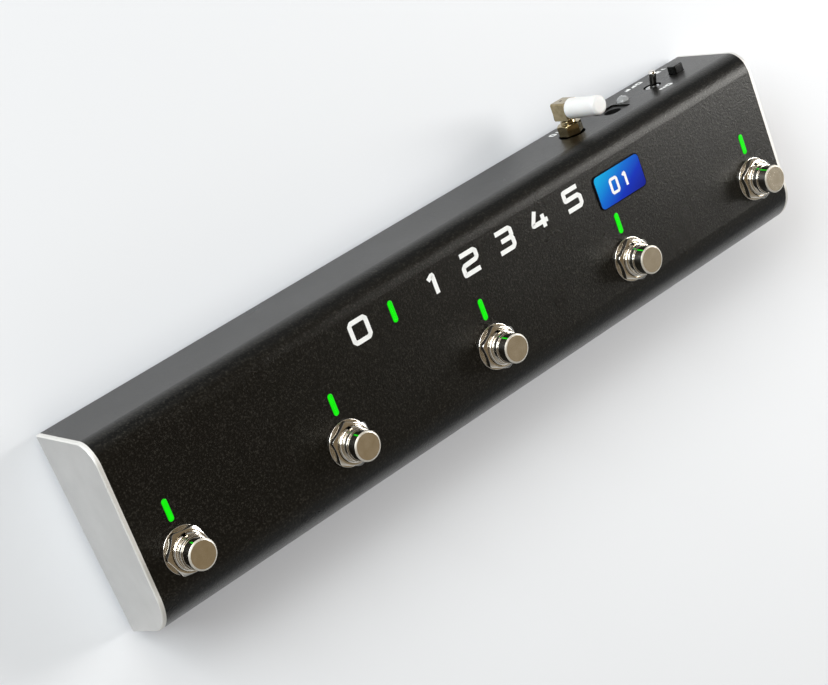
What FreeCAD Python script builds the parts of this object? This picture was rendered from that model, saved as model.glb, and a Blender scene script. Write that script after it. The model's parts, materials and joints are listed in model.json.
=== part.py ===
import FreeCAD, Part
import math
import os

# Foot controller: a long low aluminium housing with five momentary footswitches,
# light bars, and a row of fittings on the rear face. Millimetres.
#
# Two frames are used. In the panel frame x runs along the row of switches, v runs
# up the sloping top to the rear and n stands out of the top, with zero at the
# middle switch on the outer face. In the part frame X is the same, Y goes to the
# rear and Z is up; its origin is the middle of the whole part's box on the table.

Vec = FreeCAD.Vector

# Housing
SWITCH_COUNT = 5
SWITCH_PITCH = 66.5
END_MARGIN = 13.5
PANEL_TILT = 5.1
REAR_REACH = 44.3
REAR_HEIGHT = 34.5
FRONT_REACH = 20.1
FRONT_LEAN = 11.7
REAR_EDGE_R = 7.7
FRONT_EDGE_R = 13.8
BOTTOM_EDGE_R = 0.6
WALL = 2.0
LIP_REACH = 6.0
LIP_THICKNESS = 2.0
END_PLATE = 1.5
END_BEVEL = 0.35
COVER_THICKNESS = 1.5
COVER_GAP = 0.2
FOOT_HEIGHT = 3.0
FOOT_R = 6.0
FOOT_DRAFT = 0.8
FOOT_FROM_END = 16.5
FOOT_FROM_EDGE = 8.0

# Brackets that hold the end plates
BRACKET_THICKNESS = 1.5
BRACKET_LEG = 12.0
BRACKET_RISE = 15.0
BRACKET_WIDTH = 26.0
BRACKET_BEHIND_ROW = 8.0

# Countersunk screws of the bottom and pan head screws of the board
SCREW_R = 1.2
SUNK_HEAD_R = 2.3
SUNK_SCREW_LENGTH = 5.0
PAN_HEAD_R = 2.3
PAN_HEAD_HEIGHT = 1.6
PAN_SCREW_LENGTH = 6.0
THREAD_GAP = 0.03
RECESS_WIDTH = 0.6
RECESS_LENGTH = 2.4
RECESS_DEPTH = 0.8
LIP_SCREW_FROM_END = 36.5

# Footswitches
PLUNGER_R = 5.0
PLUNGER_RISE = 11.05
PLUNGER_BEVEL = 0.45
PLUNGER_FLANGE_R = 6.2
PLUNGER_FLANGE = 1.4
PLUNGER_STROKE = 2.5
PLUNGER_CROWN = 6.0
RUNNING_GAP = 0.06
BUSHING_R = 5.95
BUSHING_RISE = 4.45
BUSHING_CHAMFER = 0.4
COLLAR_R = 5.4
COLLAR_RISE = 6.85
COLLAR_ROUND = 0.25
KEYWAY_WIDTH = 1.5
KEYWAY_DEPTH = 0.55
PANEL_HOLE_GAP = 0.15
WASHER_R = 7.85
WASHER_THICKNESS = 0.7
NUT_FLATS = 14.0
NUT_HEIGHT = 2.7
NUT_CORNER_CHAMFER = 0.25
NUT_TURNS = [52.0, 30.0, 32.0, 34.0, 34.0]
BACK_NUT_HEIGHT = 2.2
BACK_NUT_SPACE = 0.8
FRAME_SIDE = 17.0
FRAME_THICKNESS = 1.0
HOUSING_SIDE = 16.4
HOUSING_DEPTH = 14.0
CAVITY_SIDE_GAP = 0.4
CAVITY_DEPTH = 6.0
SPRING_R = 3.0
SPRING_WIRE = 0.6
SPRING_SIDE_GAP = 0.2
TERMINAL_SPREAD = 4.7
TERMINAL_WIDTH = 2.0
TERMINAL_THICKNESS = 0.8
TERMINAL_OUT = 0.8
TERMINAL_HOLE_GAP = 0.1

# Light bars and badge
LIGHT_BEHIND_ROW = 13.85
LIGHT_LENGTH = 7.7
LIGHT_WIDTH = 2.0
LIGHT_SLOT_GAP = 0.05
LIGHT_FLANGE = 0.9
LIGHT_FLANGE_THICKNESS = 1.2
STATUS_BEHIND_ROW = 30.1
DIODE_LENGTH = 3.5
DIODE_WIDTH = 2.8
DIODE_HEIGHT = 1.9
DIODE_GAP = 0.25
BADGE_FROM_END = 73.8
BADGE_BEHIND_ROW = 26.9
BADGE_LENGTH = 23.1
BADGE_WIDTH = 12.8
BADGE_THICKNESS = 0.5
BADGE_CORNER_R = 2.0

# Circuit board
BOARD_THICKNESS = 1.6
BOARD_END_GAP = 3.5
BOARD_FRONT_GAP = 9.1
BOARD_LIGHT_MARGIN = 1.8
BOARD_REAR_GAP = 0.5
BOARD_TRAY_GAP = 1.0
STATUS_TAB_WIDTH = 24.0
STANDOFF_R = 2.5
STANDOFF_BEHIND_ROW = 2.0
STANDOFF_BORE_DEPTH = 8.0
REAR_STANDOFFS = [(62.0, 24.0), (36.0, 22.0)]
CHIP_HEIGHT = 1.0
CHIPS_PER_GAP = [[(-12.2, -3.0, 5.0, 6.0), (9.8, 6.0, 4.0, 4.0)],
                 [(-12.8, -3.0, 7.0, 7.0), (11.2, 9.0, 4.0, 5.0)],
                 [(-13.2, -4.0, 5.0, 5.0), (16.8, 4.0, 3.0, 6.0)],
                 [(-11.8, 4.0, 7.0, 7.0), (9.2, 6.0, 4.0, 4.0)]]
RADIO_FROM_END = 71.0
RADIO_SOCKET_GAP = 3.2
RADIO_LENGTH = 12.0
RADIO_WIDTH = 16.0
RADIO_HEIGHT = 2.4

# Battery tray for two small cells side by side
CELL_R = 5.25
CELL_LENGTH = 43.5
CELL_NUB_R = 1.9
CELL_NUB = 1.0
CELL_GAP = 0.2
TRAY_WALL = 1.2
TRAY_LIP_GAP = 0.45
CONTACT_PLATE = 0.4
CONTACT_REACH = 1.8
CONTACT_R = 2.6
CONTACT_TIP_R = 1.2
DOOR_TAB = 5.0
TRAY_FLANGE_BEYOND = 4.0
TRAY_FLANGE_THICKNESS = 1.6
TRAY_SEAT = 0.6
TRAY_BOSS_R = 2.8
TRAY_BOSS_HEIGHT = 4.0

# Rear fittings, all on one line below the panel
REAR_ROW_RISE = 14.95
FITTING_BEHIND_WALL = 0.6
ANTENNA_FROM_END = 71.0
ANTENNA_HOLE_R = 5.0
SOCKET_SIDE = 6.4
SOCKET_DEPTH = 6.5
SOCKET_R = 3.1
SOCKET_RISE = 3.6
SOCKET_BORE_R = 1.6
COUPLING_FLATS = 8.0
COUPLING_START = 0.35
COUPLING_RISE = 5.35
COUPLING_CHAMFER_START = 3.63
COUPLING_TOP_R = 3.2
COUPLING_TURN = 28.0
NECK_R = 2.2
NECK_FLANGE_R = 2.8
NECK_FLANGE = 0.5
PIN_R = 0.5
PIN_LENGTH = 3.0
ELBOW_START = 6.25
ELBOW_DEPTH = 6.45
ELBOW_WIDTH = 7.0
ELBOW_BELOW = 2.85
ELBOW_ABOVE = 4.4
ELBOW_CHAMFER = 0.5
SPIGOT_R = 1.8
SPIGOT_HEIGHT = 8.0
SHEATH_R = 3.7
SHEATH_TIP_R = 3.45
SHEATH_HEIGHT = 15.4
SHEATH_ROUND = 1.2
SHEATH_SETBACK = 9.67
SHEATH_LEAN = 3.0
JACK_FROM_END = 50.3
JACK_OPENING = 10.1
JACK_OPENING_R = 1.0
JACK_NOSE = 9.8
JACK_SUNK = 0.65
JACK_SIDE = 10.0
JACK_BODY_WIDTH = 11.0
JACK_LENGTH = 26.0
JACK_BORE_R = 3.2
JACK_LEAF_WIDTH = 2.2
JACK_LEAF_LENGTH = 9.0
JACK_LEAF_THICKNESS = 0.5
JACK_LEAF_SETBACK = 2.0
JACK_LEAF_SPACE = 2.0
LENS_FROM_END = 41.7
LENS_BELOW_ROW = 2.9
LENS_R = 2.5
LENS_RISE = 1.9
LENS_FLANGE_R = 2.9
LENS_FLANGE = 1.0
LENS_LENGTH = 11.0
LENS_HOLE_GAP = 0.1
LENS_NOTCH_GAP = 0.5
LEAD_SPREAD = 1.27
LEAD_SIDE = 0.5
LEAD_LENGTH = 3.7
TOGGLE_FROM_END = 28.85
TOGGLE_HOLE_R = 3.4
TOGGLE_BUSHING_R = 2.6
TOGGLE_SUNK = 0.3
TOGGLE_PIVOT_SUNK = 2.2
TOGGLE_BALL_R = 1.5
TOGGLE_BALL_GAP = 0.08
TOGGLE_MOUTH_R = 2.0
TOGGLE_MOUTH_DEPTH = 1.1
TOGGLE_LEAN = 16.5
TOGGLE_LENGTH = 8.6
TOGGLE_ROOT_R = 1.2
TOGGLE_TIP_R = 1.45
TOGGLE_ARM_R = 0.7
TOGGLE_ARM = 3.5
TOGGLE_WIDTH = 8.0
TOGGLE_PLATE = 0.8
TOGGLE_DEPTH = 9.4
TOGGLE_CAVITY_R = 2.3
TOGGLE_CAVITY_DEPTH = 3.5
BUTTON_FROM_END = 15.7
BUTTON_WIDTH = 5.04
BUTTON_HEIGHT = 4.04
BUTTON_CORNER_R = 1.0
BUTTON_RISE = 2.92
BUTTON_EDGE_ROUND = 0.3
BUTTON_INSIDE = 3.2
BUTTON_HOLE_GAP = 0.25
BUTTON_STEM_R = 1.4
BUTTON_STEM = 4.3
BUTTON_STEM_GAP = 0.06
BUTTON_SWITCH_WIDTH = 7.0
BUTTON_SWITCH_DEPTH = 8.0
BUTTON_SWITCH_SUNK = 5.0
BUTTON_SWITCH_ABOVE = 3.6

# Values that follow from the sizes above
TILT = math.radians(PANEL_TILT)
LEAN = math.radians(FRONT_LEAN)
COS = math.cos(TILT)
SIN = math.sin(TILT)
ROW_X = [SWITCH_PITCH * (i - (SWITCH_COUNT - 1) / 2) for i in range(SWITCH_COUNT)]
GAP_X = [x + SWITCH_PITCH / 2 for x in ROW_X[:-1]]
HALF_LENGTH = ROW_X[-1] + END_MARGIN
ROW_HEIGHT = FOOT_HEIGHT - REAR_REACH * SIN + REAR_HEIGHT * COS
REAR_ROW_N = REAR_ROW_RISE - REAR_HEIGHT
FITTING_FRONT = REAR_REACH - WALL - FITTING_BEHIND_WALL
FRONT_BOTTOM_N = (FOOT_HEIGHT - ROW_HEIGHT + FRONT_REACH * SIN) / (math.tan(LEAN) * SIN + COS)
SHEATH_V = REAR_REACH + SHEATH_SETBACK
SHEATH_N = REAR_ROW_N + ELBOW_ABOVE
SHEATH_DRAFT = (SHEATH_R - SHEATH_TIP_R) / SHEATH_HEIGHT
STATUS_X = GAP_X[1]
TRAY_X = GAP_X[2]
BADGE_X = HALF_LENGTH - BADGE_FROM_END
ANTENNA_X = HALF_LENGTH - ANTENNA_FROM_END
RADIO_X = HALF_LENGTH - RADIO_FROM_END
RADIO_V = FITTING_FRONT - SOCKET_DEPTH - RADIO_SOCKET_GAP - RADIO_WIDTH / 2
JACK_X = HALF_LENGTH - JACK_FROM_END
LENS_X = HALF_LENGTH - LENS_FROM_END
LENS_N = REAR_ROW_N - LENS_BELOW_ROW
TOGGLE_X = HALF_LENGTH - TOGGLE_FROM_END
BUTTON_X = HALF_LENGTH - BUTTON_FROM_END
BOARD_TOP = REAR_ROW_N - JACK_SIDE / 2
BOARD_UNDER = BOARD_TOP - BOARD_THICKNESS
BOARD_REAR = REAR_REACH - WALL - BOARD_REAR_GAP
BOARD_FRONT = -FRONT_REACH + BOARD_FRONT_GAP
BOARD_LIGHT_REAR = LIGHT_LENGTH / 2 + BOARD_LIGHT_MARGIN
COVER_TOP = FOOT_HEIGHT + COVER_THICKNESS
LIP_TOP = COVER_TOP + LIP_THICKNESS
BACK_NUT_UNDER = -WALL - BACK_NUT_HEIGHT
FRAME_TOP = BACK_NUT_UNDER - BACK_NUT_SPACE
FRAME_UNDER = FRAME_TOP - FRAME_THICKNESS
HOUSING_UNDER = FRAME_UNDER - HOUSING_DEPTH
TRAY_INNER_LENGTH = CELL_LENGTH + CELL_NUB + 2 * (CONTACT_PLATE + CONTACT_REACH)
TRAY_LENGTH = TRAY_INNER_LENGTH + 2 * TRAY_WALL
CELL_PITCH = 2 * (CELL_R + CELL_GAP)
TRAY_WIDTH = 2 * CELL_PITCH + 2 * TRAY_WALL
TRAY_HEIGHT = CELL_PITCH + TRAY_WALL
DOOR_LENGTH = TRAY_LENGTH + 2 * DOOR_TAB


def front_v(n, inset):
    """Place of the leaning front face at height n, moved inward by inset."""
    return -FRONT_REACH + math.tan(LEAN) * n + inset / math.cos(LEAN)


def level_y(v, n):
    """Distance behind the middle switch, measured level with the table."""
    return v * COS - n * SIN


def front_edge_y():
    """Foremost point of the rounded lower front edge, behind the middle switch."""
    corner = math.radians(90 - FRONT_LEAN + PANEL_TILT)
    trimmed = BOTTOM_EDGE_R / math.tan(corner / 2) - BOTTOM_EDGE_R
    return level_y(front_v(FRONT_BOTTOM_N, 0), FRONT_BOTTOM_N) + trimmed


def sheath_rear_v():
    """Rearmost point of the leaning sheath, at its foot on the elbow."""
    lean = math.radians(SHEATH_LEAN)
    along = SHEATH_R * math.tan(lean) / (1 + SHEATH_DRAFT * math.tan(lean))
    return SHEATH_V + along * math.sin(lean) + (SHEATH_R - SHEATH_DRAFT * along) * math.cos(lean)


MID_Y = (front_edge_y() + level_y(sheath_rear_v(), SHEATH_N)) / 2


def in_part(shape):
    """The shape moved from the panel frame into the part frame."""
    moved = shape.copy()
    moved.rotate(Vec(0, 0, 0), Vec(1, 0, 0), PANEL_TILT)
    moved.translate(Vec(0, -MID_Y, ROW_HEIGHT))
    return moved


def inner_wall_y(z, rear):
    """Part Y of the inner face of the rear or front wall at height z."""
    if rear:
        v = REAR_REACH - WALL
        n = (z - ROW_HEIGHT - v * SIN) / COS
        return level_y(v, n) - MID_Y
    k = math.tan(LEAN)
    n = (z - ROW_HEIGHT - front_v(0, WALL) * SIN) / (k * SIN + COS)
    return level_y(front_v(n, WALL), n) - MID_Y


# Shape helpers

def outline(points, radii, place):
    """Face through the points, each corner rounded by its radius, none where it is 0."""
    corners = [Vec(a, b, 0) for a, b in points]
    rounds = []
    for i, corner in enumerate(corners):
        back = (corners[i - 1] - corner).normalize()
        ahead = (corners[(i + 1) % len(corners)] - corner).normalize()
        if radii[i] == 0:
            rounds.append((corner, None, corner))
            continue
        half = back.getAngle(ahead) / 2
        middle = (back + ahead).normalize()
        reach = radii[i] / math.tan(half)
        centre = corner + middle * (radii[i] / math.sin(half))
        rounds.append((corner + back * reach, centre - middle * radii[i], corner + ahead * reach))
    edges = []
    for i, (start, mid, end) in enumerate(rounds):
        following = rounds[(i + 1) % len(rounds)][0]
        if mid is not None:
            arc = [place(p.x, p.y) for p in (start, mid, end)]
            edges.append(Part.Arc(arc[0], arc[1], arc[2]).toShape())
        if (following - end).Length > 1e-6:
            edges.append(Part.LineSegment(place(end.x, end.y), place(following.x, following.y)).toShape())
    return Part.Face(Part.Wire(edges))


def sharp(points):
    """Radii for an outline without rounded corners."""
    return [0] * len(points)


def box(x, y, z):
    """Box between the pairs of limits x, y and z."""
    return Part.makeBox(x[1] - x[0], y[1] - y[0], z[1] - z[0], Vec(x[0], y[0], z[0]))


def around(middle, size):
    """Pair of limits for a size centred on middle."""
    return (middle - size / 2, middle + size / 2)


def plate(points, radii, low, high):
    """Flat plate with an outline seen from above, between two heights."""
    face = outline(points, radii, lambda a, b: Vec(a, b, low))
    return face.extrude(Vec(0, 0, high - low))


def block_outline(middle_a, middle_b, size_a, size_b):
    """The four corners of a rectangle."""
    a = around(middle_a, size_a)
    b = around(middle_b, size_b)
    return [(a[0], b[0]), (a[1], b[0]), (a[1], b[1]), (a[0], b[1])]


def turned(points, radii, base, rear=False):
    """Turned piece from (radius, height) points, upright or pointing to the rear."""
    face = outline(points, radii, lambda r, h: Vec(r, 0, h))
    solid = face.revolve(Vec(0, 0, 0), Vec(0, 0, 1), 360)
    if rear:
        solid.rotate(Vec(0, 0, 0), Vec(1, 0, 0), -90)
    solid.translate(base)
    return solid


def rod(radius, low, high, base, rear=False):
    """Plain cylinder between two heights above base."""
    points = [(0, low), (radius, low), (radius, high), (0, high)]
    return turned(points, sharp(points), base, rear)


def hexagon(flats, low, high, turn):
    """Hexagonal prism about the upright axis, its first corner turned by an angle."""
    corner = flats / math.sqrt(3)
    angles = [math.radians(turn + 60 * i) for i in range(6)]
    points = [(corner * math.cos(a), corner * math.sin(a)) for a in angles]
    return plate(points, sharp(points), low, high)


def bar_light(x, v, low, high, grow):
    """Upright bar with rounded ends, its long side up the slope."""
    half = LIGHT_WIDTH / 2 + grow
    points = block_outline(x, v, 2 * half, LIGHT_LENGTH + 2 * grow)
    radii = [half * 0.999] * 4
    return plate(points, radii, low, high)


def save(name, solids):
    """Write one node; several solids become a group in one file."""
    shape = solids[0] if len(solids) == 1 else Part.makeCompound(solids)
    shape.exportStep("parts/" + name + ".step")


# Housing

def section_points(inset):
    """Corners of the housing's cross section, rear bottom first."""
    if inset == 0:
        front_bottom = (front_v(FRONT_BOTTOM_N, 0), FRONT_BOTTOM_N)
        return [(REAR_REACH, -REAR_HEIGHT), (REAR_REACH, 0), (front_v(0, 0), 0), front_bottom]
    low = -2 * REAR_HEIGHT
    return [(REAR_REACH - inset, low), (REAR_REACH - inset, -inset),
            (front_v(-inset, inset), -inset), (front_v(low, inset), low)]


def section_solid(inset, start, length):
    """The cross section drawn out along the row, in the part frame."""
    bottom_r = BOTTOM_EDGE_R if inset == 0 else 0
    radii = [bottom_r, REAR_EDGE_R - inset, FRONT_EDGE_R - inset, bottom_r]
    face = outline(section_points(inset), radii, lambda v, n: Vec(start, v, n))
    return in_part(face.extrude(Vec(length, 0, 0)))


def wall_cutters():
    """All openings of the panel and the rear wall."""
    through = (-2 * WALL, WALL)
    cutters = []
    for x in ROW_X:
        cutters.append(rod(BUSHING_R + PANEL_HOLE_GAP, through[0], through[1], Vec(x, 0, 0)))
        cutters.append(bar_light(x, LIGHT_BEHIND_ROW, through[0], through[1], LIGHT_SLOT_GAP))
    cutters.append(bar_light(STATUS_X, STATUS_BEHIND_ROW, through[0], through[1], LIGHT_SLOT_GAP))
    rounds = [(ANTENNA_X, REAR_ROW_N, ANTENNA_HOLE_R), (TOGGLE_X, REAR_ROW_N, TOGGLE_HOLE_R),
              (LENS_X, LENS_N, LENS_R + LENS_HOLE_GAP)]
    for x, n, radius in rounds:
        cutters.append(rod(radius, through[0], through[1], Vec(x, REAR_REACH, n), rear=True))
    cutters.append(rear_window(JACK_X, JACK_OPENING, JACK_OPENING, JACK_OPENING_R, through))
    cutters.append(rear_window(BUTTON_X, BUTTON_WIDTH + 2 * BUTTON_HOLE_GAP,
                               BUTTON_HEIGHT + 2 * BUTTON_HOLE_GAP,
                               BUTTON_CORNER_R + BUTTON_HOLE_GAP, through))
    return [in_part(cutter) for cutter in cutters]


def rear_window(x, width, height, radius, depth):
    """Rounded rectangular block on the rear row, between two distances from the face."""
    points = block_outline(x, REAR_ROW_N, width, height)
    start = REAR_REACH + depth[0]
    face = outline(points, [radius] * 4, lambda a, n: Vec(a, start, n))
    return face.extrude(Vec(0, depth[1] - depth[0], 0))


def lip(rear):
    """Inward lip that carries the bottom cover along one wall."""
    wall_y = inner_wall_y(COVER_TOP, rear)
    if rear:
        return box((-HALF_LENGTH, HALF_LENGTH), (wall_y - LIP_REACH, wall_y + WALL), (COVER_TOP, LIP_TOP))
    return box((-HALF_LENGTH, HALF_LENGTH), (wall_y - WALL, wall_y + LIP_REACH), (COVER_TOP, LIP_TOP))


def shell():
    """One drawn profile: top panel, front and rear walls and their lips."""
    outer = section_solid(0, -HALF_LENGTH, 2 * HALF_LENGTH)
    hollow = section_solid(WALL, -HALF_LENGTH - 1, 2 * HALF_LENGTH + 2)
    lips = outer.common(Part.makeCompound([lip(True), lip(False)]))
    body = outer.cut(hollow).fuse(lips.Solids)
    body = body.cut(wall_cutters() + [screw_at(x, y, THREAD_GAP) for x, y in lip_screws()])
    return body.removeSplitter()


def end_plate(side):
    """Bare plate that closes one end, its outer edge bevelled."""
    start = HALF_LENGTH if side > 0 else -HALF_LENGTH - END_PLATE
    solid = section_solid(0, start, END_PLATE)
    face_x = side * (HALF_LENGTH + END_PLATE)
    edges = [edge for edge in solid.Edges
             if abs(edge.BoundBox.XMin - face_x) < 1e-6 and abs(edge.BoundBox.XMax - face_x) < 1e-6]
    return solid.makeChamfer(END_BEVEL, edges)


# Bottom: cover, feet, brackets and their screws

def lip_screw_y(rear):
    """Screw line in the middle of a lip."""
    wall_y = inner_wall_y(COVER_TOP, rear)
    return wall_y - LIP_REACH / 2 if rear else wall_y + LIP_REACH / 2


def lip_screws():
    """Places of the screws that hold the cover to the lips."""
    outer = HALF_LENGTH - LIP_SCREW_FROM_END
    return [(x, lip_screw_y(rear)) for x in (-outer, 0, outer) for rear in (False, True)]


def bracket_limits():
    """Part Y limits of the end brackets."""
    start = BRACKET_BEHIND_ROW - MID_Y
    return (start, start + BRACKET_WIDTH)


def bracket_screws():
    """Places of the screws that hold the brackets to the cover."""
    low, high = bracket_limits()
    inset = BRACKET_WIDTH / 5
    x = HALF_LENGTH - BRACKET_LEG / 2
    return [(side * x, y) for side in (-1, 1) for y in (low + inset, high - inset)]


def door_screws():
    """Places of the screws at the two ends of the battery door."""
    x = (TRAY_LENGTH + DOOR_TAB) / 2
    return [(TRAY_X - x, tray_y()), (TRAY_X + x, tray_y())]


def screw_at(x, y, grow):
    """Countersunk screw from below, or with grow the hole for it."""
    cone = SUNK_HEAD_R - SCREW_R
    points = [(0, -grow), (SUNK_HEAD_R + grow, -grow), (SUNK_HEAD_R + grow, 0), (SCREW_R + grow, cone),
              (SCREW_R + grow, SUNK_SCREW_LENGTH + grow), (0, SUNK_SCREW_LENGTH + grow)]
    if grow == 0:
        points = points[1:2] + points[3:]
        points.insert(0, (0, 0))
    return turned(points, sharp(points), Vec(x, y, FOOT_HEIGHT))


def cross_recess(x, y, z, upward):
    """Cross slot that starts at height z and goes up or down."""
    limits = (z - RECESS_DEPTH, z + RECESS_DEPTH)
    limits = (z, limits[1]) if upward else (limits[0], z)
    return [box(around(x, RECESS_LENGTH), around(y, RECESS_WIDTH), limits),
            box(around(x, RECESS_WIDTH), around(y, RECESS_LENGTH), limits)]


def cover_screws():
    """All countersunk screws of the bottom."""
    places = lip_screws() + bracket_screws() + door_screws()
    return [screw_at(x, y, 0).cut(cross_recess(x, y, FOOT_HEIGHT, True)) for x, y in places]


def tray_y():
    """Part Y of the middle of the battery tray, which lies against the rear lip."""
    return inner_wall_y(COVER_TOP, True) - LIP_REACH - TRAY_LIP_GAP - TRAY_WIDTH / 2


def door_opening(gap):
    """Plan of the battery door, grown by a gap."""
    width = TRAY_WIDTH - 2 * TRAY_SEAT - 2 * COVER_GAP
    return block_outline(TRAY_X, tray_y(), DOOR_LENGTH + 2 * gap, width + 2 * gap)


def bottom_cover():
    """Flat sheet between the walls, flush with their lower edges."""
    front = inner_wall_y(COVER_TOP, False) + COVER_GAP
    rear = inner_wall_y(COVER_TOP, True) - COVER_GAP
    sheet = box((-HALF_LENGTH, HALF_LENGTH), (front, rear), (FOOT_HEIGHT, COVER_TOP))
    opening = door_opening(COVER_GAP)
    cutters = [plate(opening, sharp(opening), FOOT_HEIGHT - 1, COVER_TOP + 1)]
    cutters += [screw_at(x, y, THREAD_GAP) for x, y in lip_screws() + bracket_screws()]
    return sheet.cut(cutters)


def end_bracket(side):
    """Angle that joins one end plate to the cover."""
    y = bracket_limits()
    face = HALF_LENGTH
    outline_points = [(face, COVER_TOP), (face, COVER_TOP + BRACKET_RISE),
                      (face - BRACKET_THICKNESS, COVER_TOP + BRACKET_RISE),
                      (face - BRACKET_THICKNESS, COVER_TOP + BRACKET_THICKNESS),
                      (face - BRACKET_LEG, COVER_TOP + BRACKET_THICKNESS), (face - BRACKET_LEG, COVER_TOP)]
    radii = [BRACKET_THICKNESS * 1.5, 0, 0, BRACKET_THICKNESS / 2, 0, 0]
    angle = outline(outline_points, radii, lambda x, z: Vec(side * x, y[0], z))
    solid = angle.extrude(Vec(0, y[1] - y[0], 0))
    return solid.cut([screw_at(px, py, THREAD_GAP) for px, py in bracket_screws()])


def rubber_feet():
    """Four round feet under the corners of the cover."""
    x = HALF_LENGTH - FOOT_FROM_END
    front = inner_wall_y(COVER_TOP, False) + FOOT_FROM_EDGE
    rear = inner_wall_y(COVER_TOP, True) - FOOT_FROM_EDGE
    low_r = FOOT_R - FOOT_DRAFT
    points = [(0, 0), (low_r, 0), (FOOT_R, FOOT_HEIGHT), (0, FOOT_HEIGHT)]
    radii = [0, FOOT_DRAFT / 2, 0, 0]
    return [turned(points, radii, Vec(side * x, y, 0)) for side in (-1, 1) for y in (front, rear)]


# Footswitch, each piece upright on its place in the row

def switch_bushing(x):
    """Threaded bushing with its keyway, inner collar and square mounting frame."""
    bore = PLUNGER_R + RUNNING_GAP
    points = [(bore, FRAME_UNDER), (BUSHING_R, FRAME_UNDER), (BUSHING_R, BUSHING_RISE - BUSHING_CHAMFER),
              (BUSHING_R - BUSHING_CHAMFER, BUSHING_RISE), (COLLAR_R, BUSHING_RISE),
              (COLLAR_R, COLLAR_RISE), (bore, COLLAR_RISE)]
    radii = [0, 0, 0, 0, 0, COLLAR_ROUND, 0]
    tube = turned(points, radii, Vec(x, 0, 0))
    frame = box(around(x, FRAME_SIDE), around(0, FRAME_SIDE), (FRAME_UNDER, FRAME_TOP))
    frame = frame.cut(rod(bore, FRAME_UNDER - 1, FRAME_TOP + 1, Vec(x, 0, 0)))
    keyway = box(around(x, KEYWAY_WIDTH), (BUSHING_R - KEYWAY_DEPTH, BUSHING_R + 1), (FRAME_TOP, BUSHING_RISE))
    return tube.fuse(frame).cut(keyway).removeSplitter()


def switch_plunger(x):
    """Hollow push cap with a bevelled top and a retaining flange."""
    hollow = SPRING_R + SPRING_SIDE_GAP
    roof = PLUNGER_RISE - PLUNGER_CROWN
    foot = FRAME_UNDER - PLUNGER_FLANGE
    points = [(hollow, foot), (PLUNGER_FLANGE_R, foot), (PLUNGER_FLANGE_R, FRAME_UNDER),
              (PLUNGER_R, FRAME_UNDER), (PLUNGER_R, PLUNGER_RISE - PLUNGER_BEVEL),
              (PLUNGER_R - PLUNGER_BEVEL, PLUNGER_RISE), (0, PLUNGER_RISE), (0, roof), (hollow, roof)]
    return turned(points, sharp(points), Vec(x, 0, 0))


def switch_spring(x):
    """Return spring inside the plunger, as the sleeve that its coils fill."""
    low = FRAME_UNDER - CAVITY_DEPTH
    high = PLUNGER_RISE - PLUNGER_CROWN
    inner = SPRING_R - SPRING_WIRE
    points = [(inner, low), (SPRING_R, low), (SPRING_R, high), (inner, high)]
    return turned(points, sharp(points), Vec(x, 0, 0))


def switch_housing(x):
    """Moulded body below the frame, open at the top for the plunger's flange."""
    body = box(around(x, HOUSING_SIDE), around(0, HOUSING_SIDE), (HOUSING_UNDER, FRAME_UNDER))
    cavity = rod(PLUNGER_FLANGE_R + CAVITY_SIDE_GAP, FRAME_UNDER - CAVITY_DEPTH, FRAME_UNDER + 1, Vec(x, 0, 0))
    return body.cut(cavity)


def chamfered_nut(low, high, turn, x):
    """Hexagonal nut about a bushing, both faces chamfered."""
    corner = NUT_FLATS / math.sqrt(3)
    face_r = NUT_FLATS / 2 - NUT_CORNER_CHAMFER
    slope = (corner - face_r) * math.tan(math.radians(30))
    points = [(BUSHING_R + THREAD_GAP, low), (face_r, low), (corner, low + slope),
              (corner, high - slope), (face_r, high), (BUSHING_R + THREAD_GAP, high)]
    nut = hexagon(NUT_FLATS, low, high, turn).common(turned(points, sharp(points), Vec(0, 0, 0)))
    nut.translate(Vec(x, 0, 0))
    return nut


def switch_nuts():
    """Nuts on top of the panel, each tightened at its own angle."""
    low = WASHER_THICKNESS
    return [chamfered_nut(low, low + NUT_HEIGHT, turn, x) for x, turn in zip(ROW_X, NUT_TURNS)]


def switch_back_nuts():
    """Nuts against the inner face of the panel."""
    return [chamfered_nut(BACK_NUT_UNDER, -WALL, 0, x) for x in ROW_X]


def switch_washers():
    """Flat washers between panel and nuts."""
    hole = BUSHING_R + PANEL_HOLE_GAP
    points = [(hole, 0), (WASHER_R, 0), (WASHER_R, WASHER_THICKNESS), (hole, WASHER_THICKNESS)]
    radii = [0, 0, WASHER_THICKNESS * 0.3, 0]
    return [turned(points, radii, Vec(x, 0, 0)) for x in ROW_X]


def terminal(x, grow):
    """One solder blade from a switch housing through the board."""
    low = BOARD_UNDER - TERMINAL_OUT
    return box(around(x, TERMINAL_THICKNESS + 2 * grow), around(0, TERMINAL_WIDTH + 2 * grow),
               (low, HOUSING_UNDER))


def terminal_places():
    """X of all solder blades, two to a switch."""
    return [x + side * TERMINAL_SPREAD for x in ROW_X for side in (-1, 1)]


# Light bars and badge

def light_pipe(x, v):
    """Clear bar from its light source up to the panel, with a collar under the panel."""
    base = BOARD_TOP + DIODE_HEIGHT + DIODE_GAP
    bar = bar_light(x, v, base, 0, 0)
    collar = bar_light(x, v, -WALL - LIGHT_FLANGE_THICKNESS, -WALL, LIGHT_FLANGE)
    return bar.fuse(collar).removeSplitter()


def light_diodes():
    """One small light source under each bar."""
    places = [(x, LIGHT_BEHIND_ROW) for x in ROW_X] + [(STATUS_X, STATUS_BEHIND_ROW)]
    return [box(around(x, DIODE_WIDTH), around(v, DIODE_LENGTH), (BOARD_TOP, BOARD_TOP + DIODE_HEIGHT))
            for x, v in places]


def badge():
    """Thin plate with round corners on the panel."""
    points = block_outline(BADGE_X, BADGE_BEHIND_ROW, BADGE_LENGTH, BADGE_WIDTH)
    return plate(points, [BADGE_CORNER_R] * 4, 0, BADGE_THICKNESS)


# Circuit board

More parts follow.
